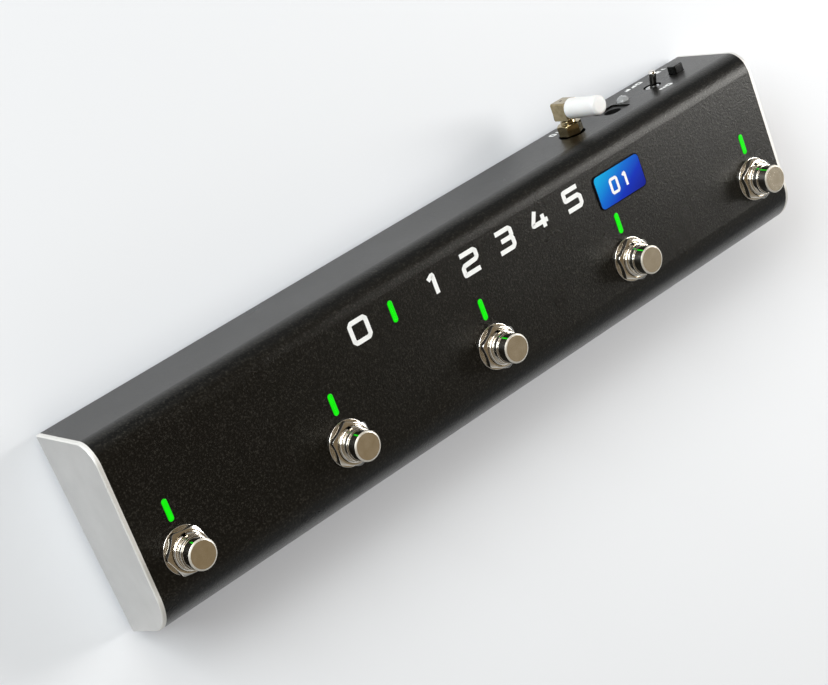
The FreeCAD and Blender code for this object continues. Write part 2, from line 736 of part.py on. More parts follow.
def board_points():
    """Plan of the board: a strip under the row, a tab and the rear right area."""
    left = -HALF_LENGTH + BOARD_END_GAP
    right = HALF_LENGTH - BOARD_END_GAP
    strip_rear = LIGHT_BEHIND_ROW + BOARD_LIGHT_REAR
    tab = around(STATUS_X, STATUS_TAB_WIDTH)
    tab_rear = STATUS_BEHIND_ROW + BOARD_LIGHT_REAR
    tray = around(TRAY_X, TRAY_LENGTH + 2 * BOARD_TRAY_GAP)
    tray_front = tray_y() - TRAY_WIDTH / 2 + MID_Y
    notch_front = (tray_front + BOARD_UNDER * SIN) / COS - BOARD_TRAY_GAP
    lens = around(LENS_X, 2 * (LENS_FLANGE_R + LENS_NOTCH_GAP))
    lens_front = lens_back_v() - LENS_NOTCH_GAP
    return [(left, BOARD_FRONT), (right, BOARD_FRONT), (right, BOARD_REAR), (lens[1], BOARD_REAR),
            (lens[1], lens_front), (lens[0], lens_front), (lens[0], BOARD_REAR), (tray[1], BOARD_REAR),
            (tray[1], notch_front), (tray[0], notch_front), (tray[0], strip_rear),
            (tab[1], strip_rear), (tab[1], tab_rear), (tab[0], tab_rear),
            (tab[0], strip_rear), (left, strip_rear)]


def standoff_places():
    """Standoffs between the switches and by the rear fittings."""
    row = [(x, STANDOFF_BEHIND_ROW) for x in GAP_X]
    return row + [(HALF_LENGTH - back, v) for back, v in REAR_STANDOFFS]


def circuit_board():
    """Board with its screw holes and blade slots."""
    points = board_points()
    board = plate(points, sharp(points), BOARD_UNDER, BOARD_TOP)
    holes = [rod(SCREW_R + THREAD_GAP, BOARD_UNDER - 1, BOARD_TOP + 1, Vec(x, v, 0))
             for x, v in standoff_places()]
    slots = [terminal(x, TERMINAL_HOLE_GAP) for x in terminal_places()]
    return board.cut(holes + slots)


def board_standoff(x, v):
    """Round standoff pressed to the panel's inner face, threaded from below."""
    post = rod(STANDOFF_R, BOARD_TOP, -WALL, Vec(x, v, 0))
    bore = rod(SCREW_R + THREAD_GAP, BOARD_TOP - 1, BOARD_TOP + STANDOFF_BORE_DEPTH, Vec(x, v, 0))
    return post.cut(bore)


def board_screw(x, v):
    """Pan head screw from below the board."""
    top = BOARD_UNDER + PAN_SCREW_LENGTH
    under = BOARD_UNDER - PAN_HEAD_HEIGHT
    points = [(0, under), (PAN_HEAD_R, under), (PAN_HEAD_R, BOARD_UNDER), (SCREW_R, BOARD_UNDER),
              (SCREW_R, top), (0, top)]
    radii = [0, PAN_HEAD_HEIGHT * 0.4, 0, 0, 0, 0]
    return turned(points, radii, Vec(x, v, 0)).cut(cross_recess(x, v, under, True))


def board_chips():
    """Packages on the board's upper face, placed from the middles between switches."""
    return [box(around(middle + x, width), around(v, depth), (BOARD_TOP, BOARD_TOP + CHIP_HEIGHT))
            for middle, chips in zip(GAP_X, CHIPS_PER_GAP) for x, v, width, depth in chips]


def radio_module():
    """Shielded radio module next to the antenna."""
    return box(around(RADIO_X, RADIO_LENGTH), around(RADIO_V, RADIO_WIDTH),
               (BOARD_TOP, BOARD_TOP + RADIO_HEIGHT))


# Battery

def battery_holder():
    """Tray open to below, with a flange and a screw boss at each end."""
    y = tray_y()
    outer = box(around(TRAY_X, TRAY_LENGTH), around(y, TRAY_WIDTH), (COVER_TOP, COVER_TOP + TRAY_HEIGHT))
    inner = box(around(TRAY_X, TRAY_INNER_LENGTH), around(y, 2 * CELL_PITCH),
                (COVER_TOP - 1, COVER_TOP + CELL_PITCH))
    flange = box(around(TRAY_X, DOOR_LENGTH + 2 * TRAY_FLANGE_BEYOND), around(y, TRAY_WIDTH),
                 (COVER_TOP, COVER_TOP + TRAY_FLANGE_THICKNESS))
    bosses = [rod(TRAY_BOSS_R, COVER_TOP, COVER_TOP + TRAY_BOSS_HEIGHT, Vec(px, py, 0))
              for px, py in door_screws()]
    holes = [screw_at(px, py, THREAD_GAP) for px, py in door_screws()]
    return outer.fuse([flange] + bosses).cut([inner] + holes).removeSplitter()


def battery_door():
    """Plate that closes the tray, flush with the cover."""
    points = door_opening(0)
    door = plate(points, sharp(points), FOOT_HEIGHT, COVER_TOP)
    return door.cut([screw_at(x, y, THREAD_GAP) for x, y in door_screws()])


def cell_places():
    """Y of the two cells and the side that each nub points to."""
    return [(tray_y() - CELL_PITCH / 2, 1), (tray_y() + CELL_PITCH / 2, -1)]


def battery_cell(y, side):
    """Round cell along the row, its nub to one side."""
    z = COVER_TOP + CELL_GAP + CELL_R
    total = CELL_LENGTH + CELL_NUB
    points = [(0, 0), (CELL_R, 0), (CELL_R, CELL_LENGTH), (CELL_NUB_R, CELL_LENGTH),
              (CELL_NUB_R, total), (0, total)]
    cell = turned(points, sharp(points), Vec(0, 0, -total / 2))
    cell.rotate(Vec(0, 0, 0), Vec(0, 1, 0), 90 * side)
    cell.translate(Vec(TRAY_X, y, z))
    return cell


def contact_cone(y, side):
    """Contact spring between a tray end and a cell, as a plain cone."""
    points = [(0, 0), (CONTACT_R, 0), (CONTACT_TIP_R, CONTACT_REACH), (0, CONTACT_REACH)]
    cone = turned(points, sharp(points), Vec(0, 0, 0))
    cone.rotate(Vec(0, 0, 0), Vec(0, 1, 0), -90 * side)
    x = TRAY_X + side * (TRAY_INNER_LENGTH / 2 - CONTACT_PLATE)
    cone.translate(Vec(x, y, COVER_TOP + CELL_GAP + CELL_R))
    return cone


def contact_plate(side, middle, width):
    """Metal strip on one end wall of the tray."""
    inner = TRAY_INNER_LENGTH / 2
    x = (TRAY_X + inner - CONTACT_PLATE, TRAY_X + inner)
    if side < 0:
        x = (TRAY_X - inner, TRAY_X - inner + CONTACT_PLATE)
    return box(x, around(middle, width), (COVER_TOP + CELL_GAP, COVER_TOP + CELL_GAP + 2 * CELL_R))


def battery_contacts():
    """One strip across both cells, and a single one for each cell at the other end."""
    ys = [y for y, side in cell_places()]
    bridge = contact_plate(-1, tray_y(), CELL_PITCH + 2 * CONTACT_R)
    bridge = bridge.fuse([contact_cone(y, -1) for y in ys]).removeSplitter()
    singles = [contact_plate(1, y, 2 * CONTACT_R).fuse(contact_cone(y, 1)).removeSplitter() for y in ys]
    return [bridge] + singles


# Jack

def leaf_places():
    """Start of each contact leaf behind the jack's nose, and the side that it lies on."""
    front = REAR_REACH - WALL - JACK_LEAF_SETBACK
    return [(front, "top"), (front, "side"), (front - JACK_LEAF_LENGTH - JACK_LEAF_SPACE, "top")]


def jack_leaf(start, side, grow):
    """Contact leaf beside the bore; with grow the slot that holds it, open to the bore."""
    v = (start - JACK_LEAF_LENGTH - grow, start + grow)
    near = JACK_BORE_R + 0.1
    outer = near + JACK_LEAF_THICKNESS
    if grow:
        near = JACK_BORE_R - 0.5
        outer = JACK_BODY_WIDTH
    width = JACK_LEAF_WIDTH + 2 * grow
    if side == "top":
        return box(around(JACK_X, width), v, (REAR_ROW_N + near, REAR_ROW_N + outer))
    return box((JACK_X + near, JACK_X + outer), v, around(REAR_ROW_N, width))


def jack_body():
    """Moulded socket with a square nose and a round bore right through."""
    nose_v = (REAR_REACH - WALL - COVER_GAP, REAR_REACH - JACK_SUNK)
    nose = rear_window(JACK_X, JACK_NOSE, JACK_NOSE, JACK_OPENING_R * 0.8,
                       (nose_v[0] - REAR_REACH, nose_v[1] - REAR_REACH))
    body = box(around(JACK_X, JACK_BODY_WIDTH), (nose_v[1] - JACK_LENGTH, nose_v[0]),
               around(REAR_ROW_N, JACK_SIDE))
    bore = rod(JACK_BORE_R, -JACK_LENGTH - 1, 1, Vec(JACK_X, nose_v[1], REAR_ROW_N), rear=True)
    slots = [jack_leaf(start, side, THREAD_GAP) for start, side in leaf_places()]
    return body.fuse(nose).cut([bore] + slots).removeSplitter()


# Indicator lens

def lens_back_v():
    """Place of the rear lens's inner end."""
    return REAR_REACH + LENS_RISE - LENS_LENGTH


def rear_lens():
    """Clear round light with a dome, a flange and two bent leads."""
    back = lens_back_v()
    points = [(0, 0), (LENS_FLANGE_R, 0), (LENS_FLANGE_R, LENS_FLANGE), (LENS_R, LENS_FLANGE),
              (LENS_R, LENS_LENGTH), (0, LENS_LENGTH)]
    radii = [0, 0, 0, 0, LENS_R * 0.99, 0]
    lens = turned(points, radii, Vec(LENS_X, back, LENS_N), rear=True)
    return [lens] + [lens_lead(LENS_X + side * LEAD_SPREAD, back) for side in (-1, 1)]


def lens_lead(x, back):
    """Wire from the lens back and down to the board."""
    low = BOARD_TOP
    high = LENS_N + LEAD_SIDE / 2
    under = LENS_N - LEAD_SIDE / 2
    front = back - LEAD_LENGTH
    points = [(back, under), (back, high), (front, high), (front, low), (front + LEAD_SIDE, low),
              (front + LEAD_SIDE, under)]
    face = outline(points, sharp(points), lambda v, n: Vec(x - LEAD_SIDE / 2, v, n))
    return face.extrude(Vec(LEAD_SIDE, 0, 0))


# Toggle

def toggle_bushing():
    """Smooth bushing with a ball seat and a flat frame."""
    pivot = REAR_REACH - TOGGLE_PIVOT_SUNK
    bore = TOGGLE_BALL_R + TOGGLE_BALL_GAP
    mouth = REAR_REACH - TOGGLE_SUNK
    back = FITTING_FRONT - TOGGLE_PLATE
    neck = pivot - TOGGLE_BALL_R
    wide = TOGGLE_MOUTH_R
    points = [(wide, back), (TOGGLE_BUSHING_R, back), (TOGGLE_BUSHING_R, mouth), (wide, mouth),
              (bore, mouth - TOGGLE_MOUTH_DEPTH), (bore, neck), (wide, neck - (wide - bore))]
    base = Vec(TOGGLE_X, back, REAR_ROW_N)
    tube = turned([(r, v - back) for r, v in points], sharp(points), base, rear=True)
    frame = box(around(TOGGLE_X, TOGGLE_WIDTH), (back, back + TOGGLE_PLATE),
                (BOARD_TOP, REAR_ROW_N + TOGGLE_WIDTH / 2))
    hole = rod(TOGGLE_BUSHING_R - COVER_GAP / 2, -1, TOGGLE_PLATE + 1, base, rear=True)
    return tube.fuse(frame.cut(hole)).removeSplitter()


def toggle_housing():
    """Moulded body behind the frame, hollow where the lever's arm swings."""
    front = FITTING_FRONT - TOGGLE_PLATE
    body = box(around(TOGGLE_X, TOGGLE_WIDTH), (front - TOGGLE_DEPTH, front),
               (BOARD_TOP, REAR_ROW_N + TOGGLE_WIDTH / 2))
    cavity = rod(TOGGLE_CAVITY_R, -TOGGLE_CAVITY_DEPTH, 1, Vec(TOGGLE_X, front, REAR_ROW_N), rear=True)
    return body.cut(cavity)


def toggle_lever():
    """Bat lever with its ball and inner arm, leaning up."""
    points = [(0, -TOGGLE_ARM), (TOGGLE_ARM_R, -TOGGLE_ARM), (TOGGLE_ARM_R, 0), (TOGGLE_ROOT_R, 0),
              (TOGGLE_TIP_R, TOGGLE_LENGTH), (0, TOGGLE_LENGTH)]
    radii = [0, TOGGLE_ARM_R * 0.6, 0, 0, TOGGLE_TIP_R * 0.7, 0]
    lever = turned(points, radii, Vec(0, 0, 0), rear=True)
    lever = lever.fuse(Part.makeSphere(TOGGLE_BALL_R)).removeSplitter()
    lever.rotate(Vec(0, 0, 0), Vec(1, 0, 0), TOGGLE_LEAN)
    lever.translate(Vec(TOGGLE_X, REAR_REACH - TOGGLE_PIVOT_SUNK, REAR_ROW_N))
    return lever


# Push button

def button_cap():
    """Rounded cap with a stem that runs in its switch."""
    cap = rear_window(BUTTON_X, BUTTON_WIDTH, BUTTON_HEIGHT, BUTTON_CORNER_R, (-BUTTON_INSIDE, BUTTON_RISE))
    face_v = REAR_REACH + BUTTON_RISE
    edges = [edge for edge in cap.Edges
             if abs(edge.BoundBox.YMin - face_v) < 1e-6 and abs(edge.BoundBox.YMax - face_v) < 1e-6]
    cap = cap.makeFillet(BUTTON_EDGE_ROUND, edges)
    back = Vec(BUTTON_X, REAR_REACH - BUTTON_INSIDE, REAR_ROW_N)
    return cap.fuse(rod(BUTTON_STEM_R, -BUTTON_STEM, 1, back, rear=True)).removeSplitter()


def button_switch():
    """Moulded switch on the board with the hole for the cap's stem."""
    front = REAR_REACH - BUTTON_SWITCH_SUNK
    body = box(around(BUTTON_X, BUTTON_SWITCH_WIDTH), (front - BUTTON_SWITCH_DEPTH, front),
               (BOARD_TOP, REAR_ROW_N + BUTTON_SWITCH_ABOVE))
    depth = BUTTON_STEM + BUTTON_INSIDE - BUTTON_SWITCH_SUNK + BUTTON_INSIDE / 2
    hole = rod(BUTTON_STEM_R + BUTTON_STEM_GAP, -depth, 1, Vec(BUTTON_X, front, REAR_ROW_N), rear=True)
    return body.cut(hole)


# Antenna

def antenna_point(v):
    """Point on the antenna connector's axis."""
    return Vec(ANTENNA_X, v, REAR_ROW_N)


def antenna_socket():
    """Board connector whose threaded barrel stands through the rear wall."""
    front = FITTING_FRONT
    block = box(around(ANTENNA_X, SOCKET_SIDE), (front - SOCKET_DEPTH, front),
                (BOARD_TOP, REAR_ROW_N + SOCKET_SIDE / 2))
    barrel = rod(SOCKET_R, front - REAR_REACH, SOCKET_RISE, antenna_point(REAR_REACH), rear=True)
    bore = rod(SOCKET_BORE_R, SOCKET_RISE - PIN_LENGTH - 1, SOCKET_RISE + 1, antenna_point(REAR_REACH),
               rear=True)
    return block.fuse(barrel).cut(bore).removeSplitter()


def antenna_nut():
    """Hexagonal coupling nut with a long cone at its outer end."""
    corner = COUPLING_FLATS / math.sqrt(3)
    flange_top = SOCKET_RISE + RUNNING_GAP + NECK_FLANGE + RUNNING_GAP
    thread_r = SOCKET_R + RUNNING_GAP
    neck_r = NECK_R + RUNNING_GAP
    points = [(thread_r, COUPLING_START), (corner + 1, COUPLING_START), (corner + 1, COUPLING_CHAMFER_START),
              (corner, COUPLING_CHAMFER_START), (COUPLING_TOP_R, COUPLING_RISE), (neck_r, COUPLING_RISE),
              (neck_r, flange_top), (thread_r, flange_top)]
    envelope = turned(points, sharp(points), Vec(0, 0, 0))
    nut = hexagon(COUPLING_FLATS, COUPLING_START, COUPLING_RISE, -COUPLING_TURN).common(envelope)
    nut.rotate(Vec(0, 0, 0), Vec(1, 0, 0), -90)
    nut.translate(antenna_point(REAR_REACH))
    return nut


def leaning(solid):
    """Upright piece on the elbow's top, leaned to the rear with the sheath."""
    solid.rotate(Vec(0, 0, 0), Vec(1, 0, 0), -SHEATH_LEAN)
    solid.translate(Vec(ANTENNA_X, SHEATH_V, SHEATH_N))
    return solid


def antenna_elbow():
    """Right-angle block with its turning neck, contact pin and sheath spigot."""
    start = REAR_REACH + ELBOW_START
    neck_low = SOCKET_RISE + RUNNING_GAP
    flange_high = neck_low + NECK_FLANGE
    block = box(around(ANTENNA_X, ELBOW_WIDTH), (start, start + ELBOW_DEPTH),
                (REAR_ROW_N - ELBOW_BELOW, REAR_ROW_N + ELBOW_ABOVE))
    block = block.makeChamfer(ELBOW_CHAMFER, elbow_edges(block))
    points = [(0, neck_low - PIN_LENGTH), (PIN_R, neck_low - PIN_LENGTH), (PIN_R, neck_low),
              (NECK_FLANGE_R, neck_low), (NECK_FLANGE_R, flange_high), (NECK_R, flange_high),
              (NECK_R, ELBOW_START + 1), (0, ELBOW_START + 1)]
    neck = turned(points, sharp(points), antenna_point(REAR_REACH), rear=True)
    spigot = leaning(rod(SPIGOT_R, -1, SPIGOT_HEIGHT, Vec(0, 0, 0)))
    return block.fuse([neck, spigot]).removeSplitter()


def elbow_edges(block):
    """The block's edges that show: those of its outer face and its two lower sides."""
    outer = REAR_REACH + ELBOW_START + ELBOW_DEPTH
    low = REAR_ROW_N - ELBOW_BELOW
    picked = []
    for edge in block.Edges:
        limits = edge.BoundBox
        on_outer = abs(limits.YMin - outer) < 1e-6 and abs(limits.YMax - outer) < 1e-6
        on_low = abs(limits.ZMin - low) < 1e-6 and abs(limits.ZMax - low) < 1e-6
        if on_low or (on_outer and limits.ZLength > 1e-6):
            picked.append(edge)
    return picked


def antenna_sheath():
    """Slightly tapered white sheath with a rounded tip, over the spigot and cut level at its foot."""
    hollow_r = SPIGOT_R + RUNNING_GAP
    hollow_top = SPIGOT_HEIGHT + RUNNING_GAP
    start = -2 * SHEATH_R * math.tan(math.radians(SHEATH_LEAN))
    points = [(hollow_r, start), (SHEATH_R - SHEATH_DRAFT * start, start), (SHEATH_TIP_R, SHEATH_HEIGHT),
              (0, SHEATH_HEIGHT), (0, hollow_top), (hollow_r, hollow_top)]
    radii = [0, 0, SHEATH_ROUND, 0, 0, 0]
    sheath = leaning(turned(points, radii, Vec(0, 0, 0)))
    below = box(around(ANTENNA_X, 4 * SHEATH_R), around(SHEATH_V, 4 * SHEATH_R),
                (SHEATH_N - SHEATH_R, SHEATH_N))
    return sheath.cut(below)


# Write every node

def build():
    """Make all pieces and write one file per node."""
    os.makedirs("parts", exist_ok=True)
    save("shell", [shell()])
    save("left_end_plate", [end_plate(-1)])
    save("right_end_plate", [end_plate(1)])
    save("end_brackets", [end_bracket(-1), end_bracket(1)])
    save("bottom_cover", [bottom_cover()])
    save("cover_screws", cover_screws())
    save("rubber_feet", rubber_feet())
    save("battery_holder", [battery_holder()])
    save("battery_door", [battery_door()])
    save("battery_cells", [battery_cell(y, side) for y, side in cell_places()])
    save("battery_contacts", battery_contacts())
    for number, x in enumerate(ROW_X, start=1):
        save("switch_bushing_%d" % number, [in_part(switch_bushing(x))])
        save("switch_plunger_%d" % number, [in_part(switch_plunger(x))])
        save("switch_spring_%d" % number, [in_part(switch_spring(x))])
        save("switch_housing_%d" % number, [in_part(switch_housing(x))])
        save("light_pipe_%d" % number, [in_part(light_pipe(x, LIGHT_BEHIND_ROW))])
    panel_nodes = {
        "status_light_pipe": [light_pipe(STATUS_X, STATUS_BEHIND_ROW)],
        "badge": [badge()],
        "switch_nuts": switch_nuts(),
        "switch_washers": switch_washers(),
        "switch_back_nuts": switch_back_nuts(),
        "switch_terminals": [terminal(x, 0) for x in terminal_places()],
        "light_diodes": light_diodes(),
        "circuit_board": [circuit_board()],
        "board_standoffs": [board_standoff(x, v) for x, v in standoff_places()],
        "board_screws": [board_screw(x, v) for x, v in standoff_places()],
        "board_chips": board_chips(),
        "radio_module": [radio_module()],
        "jack_body": [jack_body()],
        "jack_contacts": [jack_leaf(start, side, 0) for start, side in leaf_places()],
        "rear_lens": rear_lens(),
        "toggle_bushing": [toggle_bushing()],
        "toggle_housing": [toggle_housing()],
        "toggle_lever": [toggle_lever()],
        "button_cap": [button_cap()],
        "button_switch": [button_switch()],
        "antenna_socket": [antenna_socket()],
        "antenna_nut": [antenna_nut()],
        "antenna_elbow": [antenna_elbow()],
        "antenna_sheath": [antenna_sheath()],
    }
    for name, solids in panel_nodes.items():
        save(name, [in_part(solid) for solid in solids])


build()
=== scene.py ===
import json
import math

import bmesh
import bpy
from mathutils import Matrix, Vector

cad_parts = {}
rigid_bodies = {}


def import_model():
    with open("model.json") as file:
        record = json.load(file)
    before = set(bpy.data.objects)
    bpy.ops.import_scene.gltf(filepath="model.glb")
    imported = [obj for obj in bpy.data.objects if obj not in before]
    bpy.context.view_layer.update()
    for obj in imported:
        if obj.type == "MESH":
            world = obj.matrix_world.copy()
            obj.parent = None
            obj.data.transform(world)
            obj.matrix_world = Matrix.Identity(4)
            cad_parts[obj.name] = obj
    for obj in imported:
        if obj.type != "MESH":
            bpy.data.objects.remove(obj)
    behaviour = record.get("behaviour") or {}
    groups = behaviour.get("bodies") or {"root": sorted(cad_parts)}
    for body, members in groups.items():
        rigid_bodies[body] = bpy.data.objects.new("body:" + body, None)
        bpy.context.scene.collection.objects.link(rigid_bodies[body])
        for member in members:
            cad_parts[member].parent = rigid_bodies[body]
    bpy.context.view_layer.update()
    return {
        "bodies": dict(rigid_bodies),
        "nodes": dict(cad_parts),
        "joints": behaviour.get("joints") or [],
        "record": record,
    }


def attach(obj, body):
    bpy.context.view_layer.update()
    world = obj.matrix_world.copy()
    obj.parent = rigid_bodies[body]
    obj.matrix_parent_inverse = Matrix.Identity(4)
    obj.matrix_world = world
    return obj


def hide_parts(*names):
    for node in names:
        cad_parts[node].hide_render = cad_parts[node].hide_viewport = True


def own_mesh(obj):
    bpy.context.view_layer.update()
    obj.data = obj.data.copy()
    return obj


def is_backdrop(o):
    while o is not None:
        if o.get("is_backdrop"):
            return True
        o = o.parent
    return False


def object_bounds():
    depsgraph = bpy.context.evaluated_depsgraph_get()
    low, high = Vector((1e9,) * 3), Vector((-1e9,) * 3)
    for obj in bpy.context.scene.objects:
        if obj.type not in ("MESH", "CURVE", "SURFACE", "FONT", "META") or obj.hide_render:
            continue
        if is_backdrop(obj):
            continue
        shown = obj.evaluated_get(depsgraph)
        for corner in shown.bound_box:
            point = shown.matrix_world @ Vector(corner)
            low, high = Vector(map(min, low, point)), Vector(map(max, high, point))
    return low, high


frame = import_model()

# Sizes are in millimetres and repeat those of the CAD source. In the panel frame x runs
# along the row of switches, v up the sloping top to the rear and n out of the top.
# Heights in the panel frame count from the top of the panel.
MM = 0.001
TILT = math.radians(5.1)
ROW_HEIGHT = 33.4254
MID_Y = 17.7649
ROW_X = [-133.0, -66.5, 0.0, 66.5, 133.0]
NUT_TURNS = [52.0, 30.0, 32.0, 34.0, 34.0]
HALF_LENGTH = 146.5
END_PLATE = 1.5
END_BEVEL = 0.35
REAR_REACH = 44.3
REAR_ROW_N = -19.55
BOARD_TOP = -24.55
FRAME_UNDER = -6.0
PLUNGER_R = 5.0
PLUNGER_TOP = 11.05
PLUNGER_ROOF = 5.05
FLANGE_R = 6.2
FLANGE = 1.4
CAVITY_DEPTH = 6.0
WASHER_R = 7.85
WASHER_TOP = 0.7
NUT_TOP = 3.4
NUT_FLATS = 14.0
LIGHT_V = 13.85
STATUS_X, STATUS_V = -33.25, 30.1
BADGE_X, BADGE_V = 72.7, 26.9
BADGE_TOP = 0.5
BUTTON_X = 130.8
TOGGLE_X = 117.65
TOGGLE_SUNK = 2.2
TOGGLE_LEAN = 16.5
ANTENNA_X = 75.5
ROUND = 96

PANEL = (Matrix.Scale(MM, 4) @ Matrix.Translation((0, -MID_Y, ROW_HEIGHT))
         @ Matrix.Rotation(TILT, 4, "X"))


def on_panel(x, v, n=0.0):
    """Place on the panel, its local z out of the top."""
    return PANEL @ Matrix.Translation((x, v, n))


def on_rear(x, n=REAR_ROW_N, v=REAR_REACH):
    """Place on the rear wall, its local z to the rear."""
    return PANEL @ Matrix.Translation((x, v, n)) @ Matrix.Rotation(-math.pi / 2, 4, "X")


# Outlines and rings

def soften(corners, radii, steps=6, closed=True):
    """Outline through 2D corners, each turned into an arc of its radius."""
    count = len(corners)
    points = []
    for i, corner in enumerate(corners):
        radius = radii[i] if isinstance(radii, (list, tuple)) else radii
        here = Vector(corner)
        if radius == 0 or (not closed and i in (0, count - 1)):
            points.append(here)
            continue
        back = (Vector(corners[i - 1]) - here).normalized()
        ahead = (Vector(corners[(i + 1) % count]) - here).normalized()
        half = back.angle(ahead) / 2
        centre = here + (back + ahead).normalized() * (radius / math.sin(half))
        start = here + back * (radius / math.tan(half)) - centre
        sweep = math.pi - 2 * half
        if back.cross(ahead) > 0:
            sweep = -sweep
        for k in range(steps + 1):
            a = sweep * k / steps
            points.append(centre + Vector((start.x * math.cos(a) - start.y * math.sin(a),
                                           start.x * math.sin(a) + start.y * math.cos(a))))
    return points


def inset(points, distance):
    """Closed outline moved inward, for convex outlines in either direction."""
    middle = sum(points, Vector((0, 0))) / len(points)
    moved = []
    for i, p in enumerate(points):
        a = (p - points[i - 1]).normalized()
        b = (points[(i + 1) % len(points)] - p).normalized()
        normal = Vector((-(a + b).y, (a + b).x)).normalized()
        if normal.dot(middle - p) < 0:
            normal = -normal
        share = max(0.3, abs(normal.dot(Vector((-a.y, a.x)))))
        moved.append(p + normal * (distance / share))
    return moved


def ring(points, height):
    """2D points lifted to one height."""
    return [Vector((p[0], p[1], height)) for p in points]


def polar(radius, height, angles):
    """Ring whose radius and height are numbers or functions of the angle."""
    r = radius if callable(radius) else lambda a: radius
    h = height if callable(height) else lambda a: height
    return [Vector((r(a) * math.cos(a), r(a) * math.sin(a), h(a))) for a in angles]


def even_angles(count=ROUND):
    """Angles once around a circle."""
    return [2 * math.pi * i / count for i in range(count)]


class Shape:
    """Vertices and faces of one piece, gathered in metres."""

    def __init__(self):
        self.verts = []
        self.faces = []
        self.marks = []

    def stack(self, rings, place, closed=False, caps=(True, True), marks=0):
        """Bands between rings of equal count; closed joins the last ring to the first.

        Marks are material numbers: one for all, or one for each band."""
        bands = len(rings) if closed else len(rings) - 1
        if not isinstance(marks, (list, tuple)):
            marks = [marks] * bands
        count = len(rings[0])
        start = len(self.verts)
        for one in rings:
            self.verts += [place @ p for p in one]
        for b in range(bands):
            low = start + b * count
            high = start + ((b + 1) % len(rings)) * count
            for i in range(count):
                j = (i + 1) % count
                self.faces.append((low + i, low + j, high + j, high + i))
                self.marks.append(marks[b])
        if not closed and caps[0]:
            self.faces.append(tuple(range(start + count - 1, start - 1, -1)))
            self.marks.append(marks[0])
        if not closed and caps[1]:
            last = start + (len(rings) - 1) * count
            self.faces.append(tuple(range(last, last + count)))
            self.marks.append(marks[-1])
        return self

    def lathe(self, profile, place, closed=False, marks=0, count=ROUND):
        """Turned form from (radius, height) points; an open profile starts and ends on the axis."""
        angles = even_angles(count)
        rings = [polar(r, h, angles) for r, h in profile]
        return self.stack(rings, place, closed, (False, False), marks)

    def slab(self, outline, low, high, place, edge, steps):
        """Plate with an outline, its upper rim rounded."""
        rings = [ring(outline, low), ring(outline, high - edge)]
        for k in range(1, steps + 1):
            a = math.pi / 2 * k / steps
            shrunk = inset(outline, edge * (1 - math.cos(a)))
            rings.append(ring(shrunk, high - edge * (1 - math.sin(a))))
        return self.stack(rings, place)


def rectangle(a, b):
    """Corners of a rectangle about the origin."""
    return [(-a / 2, -b / 2), (a / 2, -b / 2), (a / 2, b / 2), (-a / 2, b / 2)]


def piece(name, shape, body, materials, replaces=(), sharp=32, axis=None):
    """Mesh object from a shape, riding on a body; an axis stores each point's distance from it."""
    mesh = bpy.data.meshes.new(name)
    mesh.from_pydata(shape.verts, [], shape.faces)
    mesh.polygons.foreach_set("material_index", shape.marks)
    work = bmesh.new()
    work.from_mesh(mesh)
    bmesh.ops.remove_doubles(work, verts=work.verts, dist=2e-7)
    bmesh.ops.dissolve_degenerate(work, edges=work.edges, dist=1e-7)
    bmesh.ops.recalc_face_normals(work, faces=work.faces)
    work.to_mesh(mesh)
    work.free()
    mesh.shade_smooth()
    mesh.set_sharp_from_angle(angle=math.radians(sharp))
    if axis is not None:
        back = axis.inverted()
        radii = [(back @ v.co).to_2d().length for v in mesh.vertices]
        mesh.attributes.new("from_axis", "FLOAT", "POINT").data.foreach_set("value", radii)
    for material in materials:
        mesh.materials.append(material)
    made = bpy.data.objects.new(name, mesh)
    bpy.context.scene.collection.objects.link(made)
    normals = made.modifiers.new("flat faces", "WEIGHTED_NORMAL")
    normals.keep_sharp = True
    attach(made, body)
    if replaces:
        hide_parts(*replaces)
    return made


# Materials

